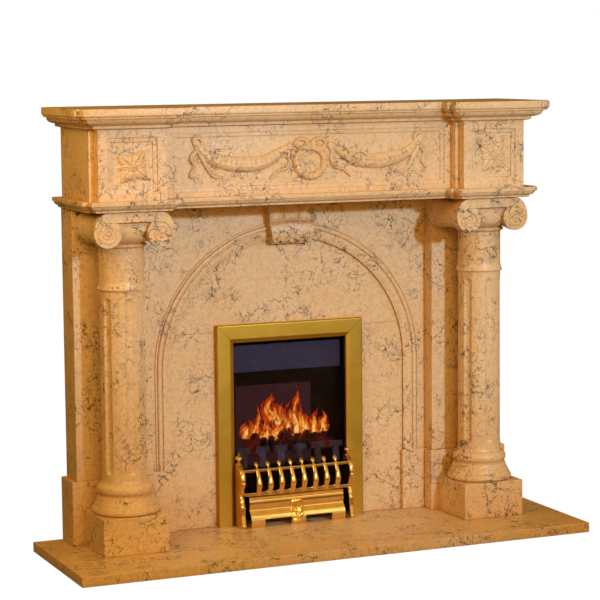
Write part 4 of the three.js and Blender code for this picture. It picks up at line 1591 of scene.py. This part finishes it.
@dataclass
class Fret:
    """Brass fret on the hearth: two cheeks, two rails and bellied bars, and the ash-pan cover."""

    finishes: Finishes
    cheek_x: float = 170.0
    cheek_half: float = 7.5
    cheek_back: float = 63.0
    cheek_top: float = 212.0
    bars: int = 8
    pitch: float = 35.2
    rail_top: float = 193.0
    rail_bottom: float = 126.0
    bar_line: tuple[Pair, ...] = ((104, 122), (110, 137), (114, 152), (111, 172), (104, 186), (97, 197))
    bar_widths: tuple[Pair, ...] = (
        (9.5, 122), (7.4, 132), (8.2, 142), (9.4, 152), (8.2, 162), (6.6, 175),
        (5.8, 188), (5.6, 198),
    )
    cheek_line: tuple[Pair, ...] = (
        (112, 28), (112, 40), (107, 66), (105, 90), (99, 108), (94, 122),
        (101, 138), (111, 158), (110, 176), (103, 192), (82, 212),
    )
    cover_half: float = 147.0
    cover_wall: float = 8.0
    cover_line: tuple[Pair, ...] = (
        (108, 28), (112, 40), (111.5, 52), (106, 64), (99, 72), (95, 78),
        (96.5, 84), (98, 92), (97, 104), (94, 109), (95, 113), (90, 117),
    )
    cut_inner: float = 22.0
    cut_outer: float = 105.0
    cut_top: float = 52.0

    @staticmethod
    def out_at(line: Sequence[Pair], z: float) -> float:
        """How far out a line runs at a height."""
        outs, heights = zip(*line)
        return float(np.interp(z, heights, outs))

    def cheek(self, shape: Shape, side: Side) -> None:
        """Adds one cheek: a curved plate with rounded edges, a ball on top and knobs on its front.

        Args:
            shape: Shape that receives it.
            side: Side of the fret.
        """
        front = smooth_line(self.cheek_line, 5)
        outline = [(self.cheek_back, FLOOR_TOP), *front, (self.cheek_back + 2, self.cheek_top)]
        x = side.value * self.cheek_x
        rings: list[Ring] = []
        for turn in spread(-math.pi / 2, math.pi / 2, 11):
            offset = self.cheek_half * math.sin(turn)
            inset = 5.0 * (1 - math.cos(turn) ** 0.7)
            rings.append([at(x + offset, max(self.cheek_back, out - inset), z) for out, z in outline])
        shape.loft(rings)
        z = self.cheek_top
        neck = [(5.5, z - 4), (6.5, z), (6.5, z + 2), (3.5, z + 5)]
        ball = [(1 + 9.5 * math.sin(math.pi * i / 14) ** 0.9, z + 6 + 19 * i / 14) for i in range(15)]
        tip = [(2.2, z + 26), (2.6, z + 28), (0.8, z + 30)]
        shape.turned([*neck, *ball, *tip], x, self.cheek_back + 12, 28)
        for height, size in ((158.0, 7.5), (98.0, 6.0), (36.0, 7.5)):
            out = self.out_at(self.cheek_line, height) - 2
            shape.ball((x, out, height), (size, 0.8 * size, size), 10)

    def bar(self, shape: Shape, x: float) -> None:
        """Adds one bellied bar with its collar and drop-shaped finial.

        Args:
            shape: Shape that receives it.
            x: Its place across.
        """
        body = [(out, z, self.out_at(self.bar_widths, z)) for out, z in smooth_line(self.bar_line, 6)]
        collar = [(96, 199, 3.4), (94.5, 202, 2.8)]
        drop = [(92, 206, 6.0), (89.5, 210, 6.5), (87, 214, 4.6), (85.5, 217.3, 0.9)]
        finial = smooth_line([*collar, *drop], 4)
        turns = full_turn(16)
        rings: list[Ring] = []
        for out, z, half in [*body, *finial]:
            rings.append([at(x + half * math.cos(t), out + 0.8 * half * math.sin(t), z) for t in turns])
        shape.loft(rings)

    def scallop(self, shape: Shape, x: float) -> None:
        """Adds the curved web that joins two bars over the lower rail.

        Args:
            shape: Shape that receives it.
            x: Place of its middle across.
        """
        half = self.pitch / 2
        line: list[Spot] = []
        for share in spread(-1.0, 1.0, 13):
            z = self.rail_bottom + 3 + 9 * share * share
            line.append((x + half * share, self.out_at(self.bar_line, z) - 2, z))
        shape.strand(line, 10, lambda t: 3.6, lambda t: 4.0)

    def rail(self, shape: Shape, z: float, height: float, depth: float) -> None:
        """Adds one rail between the cheeks.

        Args:
            shape: Shape that receives it.
            z: Height of its middle.
            height: Its height.
            depth: Its depth out from the wall.
        """
        reach = self.cheek_x - self.cheek_half + 2
        front = self.out_at(self.bar_line, z) + 3
        shape.block((-reach, front - depth, z - height / 2), (reach, front, z + height / 2), 1.8)

    def fret(self) -> None:
        """Makes the fret."""
        shape = Shape()
        for side in Side:
            self.cheek(shape, side)
        self.rail(shape, self.rail_top, 8.0, 7.0)
        self.rail(shape, self.rail_bottom, 9.0, 16.0)
        first = -self.pitch * (self.bars - 1) / 2
        for i in range(self.bars):
            self.bar(shape, first + i * self.pitch)
        for i in range(self.bars - 1):
            self.scallop(shape, first + (i + 0.5) * self.pitch)
        shape.piece("fret_brass", self.finishes.polished, "fret")

    def plate(self, shape: Shape, x0: float, x1: float, low: float) -> None:
        """Adds one stretch of the cover's bowed plate, from a height up to its top.

        Args:
            shape: Shape that receives it.
            x0: One end across.
            x1: The other end.
            low: Height of its lower edge.
        """
        top = self.cover_line[-1][1]
        line = smooth_line(self.cover_line, 6)
        outs = [(out, z) for out, z in line if z > low]
        front = [(self.out_at(line, low), low), *outs]
        behind = [(out - self.cover_wall, z) for out, z in reversed(front)]
        rim = [(front[-1][0] - 2, top + 0.8), (front[-1][0] - 5, top + 0.8)]
        ring = [*front, *rim, *behind]
        shape.loft([[at(x, out, z) for out, z in ring] for x in (x0, x1)])

    def boss(self, shape: Shape) -> None:
        """Adds the leaf-shaped boss in the middle of the cover.

        Args:
            shape: Shape that receives it.
        """
        foot = [(28, 18, 5), (38, 19, 5), (50, 12.5, 4)]
        leaf = [(62, 16, 6.5), (76, 20, 8.5), (90, 19, 7.5), (99, 13, 5), (103, 5, 1.5)]
        sizes = smooth_line([*foot, *leaf], 5)
        rings: list[Ring] = []
        shares = spread(1.0, -1.0, 33)
        for z, half, lift in sizes:
            out = self.out_at(self.cover_line, z)
            front: Ring = []
            for share in shares:
                lobes = 1 + 0.16 * math.cos(2 * math.pi * 3 * share) * (1 if z > 55 else 0.2)
                front.append(at(share * half, out + lift * (1 - 0.7 * share * share) * lobes, z))
            rings.append([at(half, out - 4, z), *front, at(-half, out - 4, z)])
        shape.loft(rings)

    def cover(self) -> None:
        """Makes the ash-pan cover: a bowed plate on end feet and a middle boss, arched between them."""
        shape = Shape()
        for sign in (-1, 1):
            self.plate(shape, sign * self.cut_outer, sign * self.cover_half, FLOOR_TOP)
            self.plate(shape, sign * self.cut_inner, sign * self.cut_outer, self.cut_top)
        self.plate(shape, -self.cut_inner, self.cut_inner, FLOOR_TOP)
        self.boss(shape)
        shape.piece("ashpan_cover_brass", self.finishes.polished, "ashpan_cover")

    def build(self) -> None:
        """Makes the fret and the ash-pan cover."""
        self.fret()
        self.cover()


@dataclass(frozen=True)
class SoftBox:
    """One soft lamp: its place, width and height in metres, power and colour."""

    place: Spot
    size: Pair
    watts: float
    colour: Colour


@dataclass
class Studio:
    """White floor, lights and the camera at the photograph's view."""

    eye: Spot = (-2.3759, -5.4606, 1.3811)
    yaw: float = math.radians(23.1533)
    pitch: float = math.radians(-6.6081)
    roll: float = -0.009321
    lens: float = 128.37
    key_from: Spot = (0.9, -4.6, 2.0)
    key_aim: Spot = (0.2, 0.2, 0.98)
    key_watts: float = 520.0
    key_colour: Colour = (0.52, 0.80, 1.0)
    key_cone: float = math.radians(28.0)
    key_blend: float = 0.65
    key_radius: float = 0.12
    fill: Colour = (1.0, 0.61, 0.15)
    fill_from: Spot = (0.3, -0.9, 0.3)
    fill_dim: float = 0.03
    fill_bright: float = 0.78
    fill_range: Pair = (-0.5, 0.8)
    soft_aim: Spot = (0.0, 0.0, 0.8)
    soft_boxes: tuple[SoftBox, ...] = (
        SoftBox((2.2, -3.2, 2.6), (1.2, 1.6), 6.0, (1.0, 0.86, 0.66)),
        SoftBox((-1.5, -0.5, 1.6), (0.5, 0.8), 10.0, (1.0, 0.64, 0.20)),
        SoftBox((-0.5, -3.4, 1.5), (1.6, 0.9), 29.0, (1.0, 0.61, 0.16)),
    )
    floor_reach: float = 30.0
    floor_z: float = -0.001
    floor_colour: Colour = (0.22, 0.18, 0.14)
    floor_glow: float = 1.08
    floor_share: float = 0.93

    def camera(self) -> None:
        """Sets up the camera."""
        data = bpy.data.cameras.new("camera")
        data.sensor_width = 36.0
        data.lens = self.lens
        right = Vector((math.cos(self.yaw), -math.sin(self.yaw), 0.0))
        ahead = Vector((math.sin(self.yaw), math.cos(self.yaw), 0.0))
        up = Vector((0.0, 0.0, 1.0))
        forward = ahead * math.cos(self.pitch) + up * math.sin(self.pitch)
        top = up * math.cos(self.pitch) - ahead * math.sin(self.pitch)
        turned_right = right * math.cos(self.roll) + top * math.sin(self.roll)
        turned_top = top * math.cos(self.roll) - right * math.sin(self.roll)
        axes = Matrix((turned_right, turned_top, -forward)).transposed().to_4x4()
        made = bpy.data.objects.new("camera", data)
        made.matrix_world = Matrix.Translation(self.eye) @ axes
        bpy.context.scene.collection.objects.link(made)
        bpy.context.scene.camera = made

    def floor(self) -> None:
        """Lays the floor: white in the view, a matt brown to the light that it throws back."""
        reach, z = self.floor_reach, self.floor_z
        mesh = bpy.data.meshes.new("floor")
        corners = [(-reach, -reach, z), (reach, -reach, z), (reach, reach, z), (-reach, reach, z)]
        mesh.from_pydata(corners, [], [(0, 1, 2, 3)])
        graph = Graph(bpy.data.materials.new("pale_floor"))
        paint = {"Base Color": (*self.floor_colour, 1.0), "Roughness": 0.9}
        matt = graph.node("ShaderNodeBsdfPrincipled", {}, paint, "BSDF")
        bright = graph.node("ShaderNodeEmission", {}, {"Color": WHITE, "Strength": self.floor_glow})
        seen = graph.node("ShaderNodeLightPath", output="Is Camera Ray")
        graph.end(graph.node("ShaderNodeMixShader", {}, {0: seen * self.floor_share, 1: matt, 2: bright}))
        mesh.materials.append(graph.owner)
        made = bpy.data.objects.new("floor", mesh)
        bpy.context.scene.collection.objects.link(made)

    def lamp(self, name: str, kind: str, place: Sequence[float], aim: Sequence[float]) -> bpy.types.Light:
        """Hangs one lamp.

        Args:
            name: Its name.
            kind: Its type of light.
            place: Where it hangs.
            aim: The point that it faces.

        Returns:
            Its light.
        """
        light = bpy.data.lights.new(name, kind)
        made = bpy.data.objects.new(name, light)
        made.location = place
        made.rotation_euler = (made.location - Vector(aim)).to_track_quat("Z", "Y").to_euler()
        bpy.context.scene.collection.objects.link(made)
        return light

    def lights(self) -> None:
        """Hangs the main light and the soft boxes."""
        key = self.lamp("key", "SPOT", self.key_from, self.key_aim)
        key.energy = self.key_watts
        key.color = self.key_colour
        key.spot_size = self.key_cone
        key.spot_blend = self.key_blend
        key.shadow_soft_size = self.key_radius
        for i, soft in enumerate(self.soft_boxes):
            box = self.lamp(f"soft_box_{i}", "AREA", soft.place, self.soft_aim)
            box.shape = "RECTANGLE"
            box.size, box.size_y = soft.size
            box.energy = soft.watts
            box.color = soft.colour

    def surroundings(self) -> None:
        """Sets up the warm light all round, strongest from the front; the view shows plain white."""
        world = bpy.data.worlds.new("studio")
        graph = Graph(world)
        place = graph.node("ShaderNodeTexCoord", output="Generated")
        axis = {0: place, 1: self.fill_from}
        facing = graph.node("ShaderNodeVectorMath", {"operation": "DOT_PRODUCT"}, axis, "Value")
        low, high = self.fill_range
        steps = {"From Min": low, "From Max": high, "To Min": self.fill_dim, "To Max": self.fill_bright}
        strength = graph.node("ShaderNodeMapRange", {}, {"Value": facing, **steps})
        warm = graph.node("ShaderNodeBackground", {}, {"Color": (*self.fill, 1.0), "Strength": strength})
        plain = graph.node("ShaderNodeBackground", {}, {"Color": WHITE})
        seen = graph.node("ShaderNodeLightPath", output="Is Camera Ray")
        graph.end(graph.node("ShaderNodeMixShader", {}, {0: seen, 1: warm, 2: plain}))
        bpy.context.scene.world = world
        bpy.context.scene.view_settings.view_transform = "Standard"

    def build(self) -> None:
        """Sets up the studio."""
        self.camera()
        self.floor()
        self.lights()
        self.surroundings()


def main() -> None:
    """Builds the mantel in the order in which it is put up, then the studio round it."""
    logging.basicConfig(level=logging.INFO, format="%(message)s")
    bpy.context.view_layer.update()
    finishes = Finishes.make()
    Slabs(finishes).build()
    for side in Side:
        Column(side, finishes).build()
    ArchPanel(finishes).build()
    Frieze(finishes).build()
    FireTrim(finishes).build()
    Fire(finishes).build()
    Fret(finishes).build()
    Studio().build()


if __name__ == "__main__":
    main()
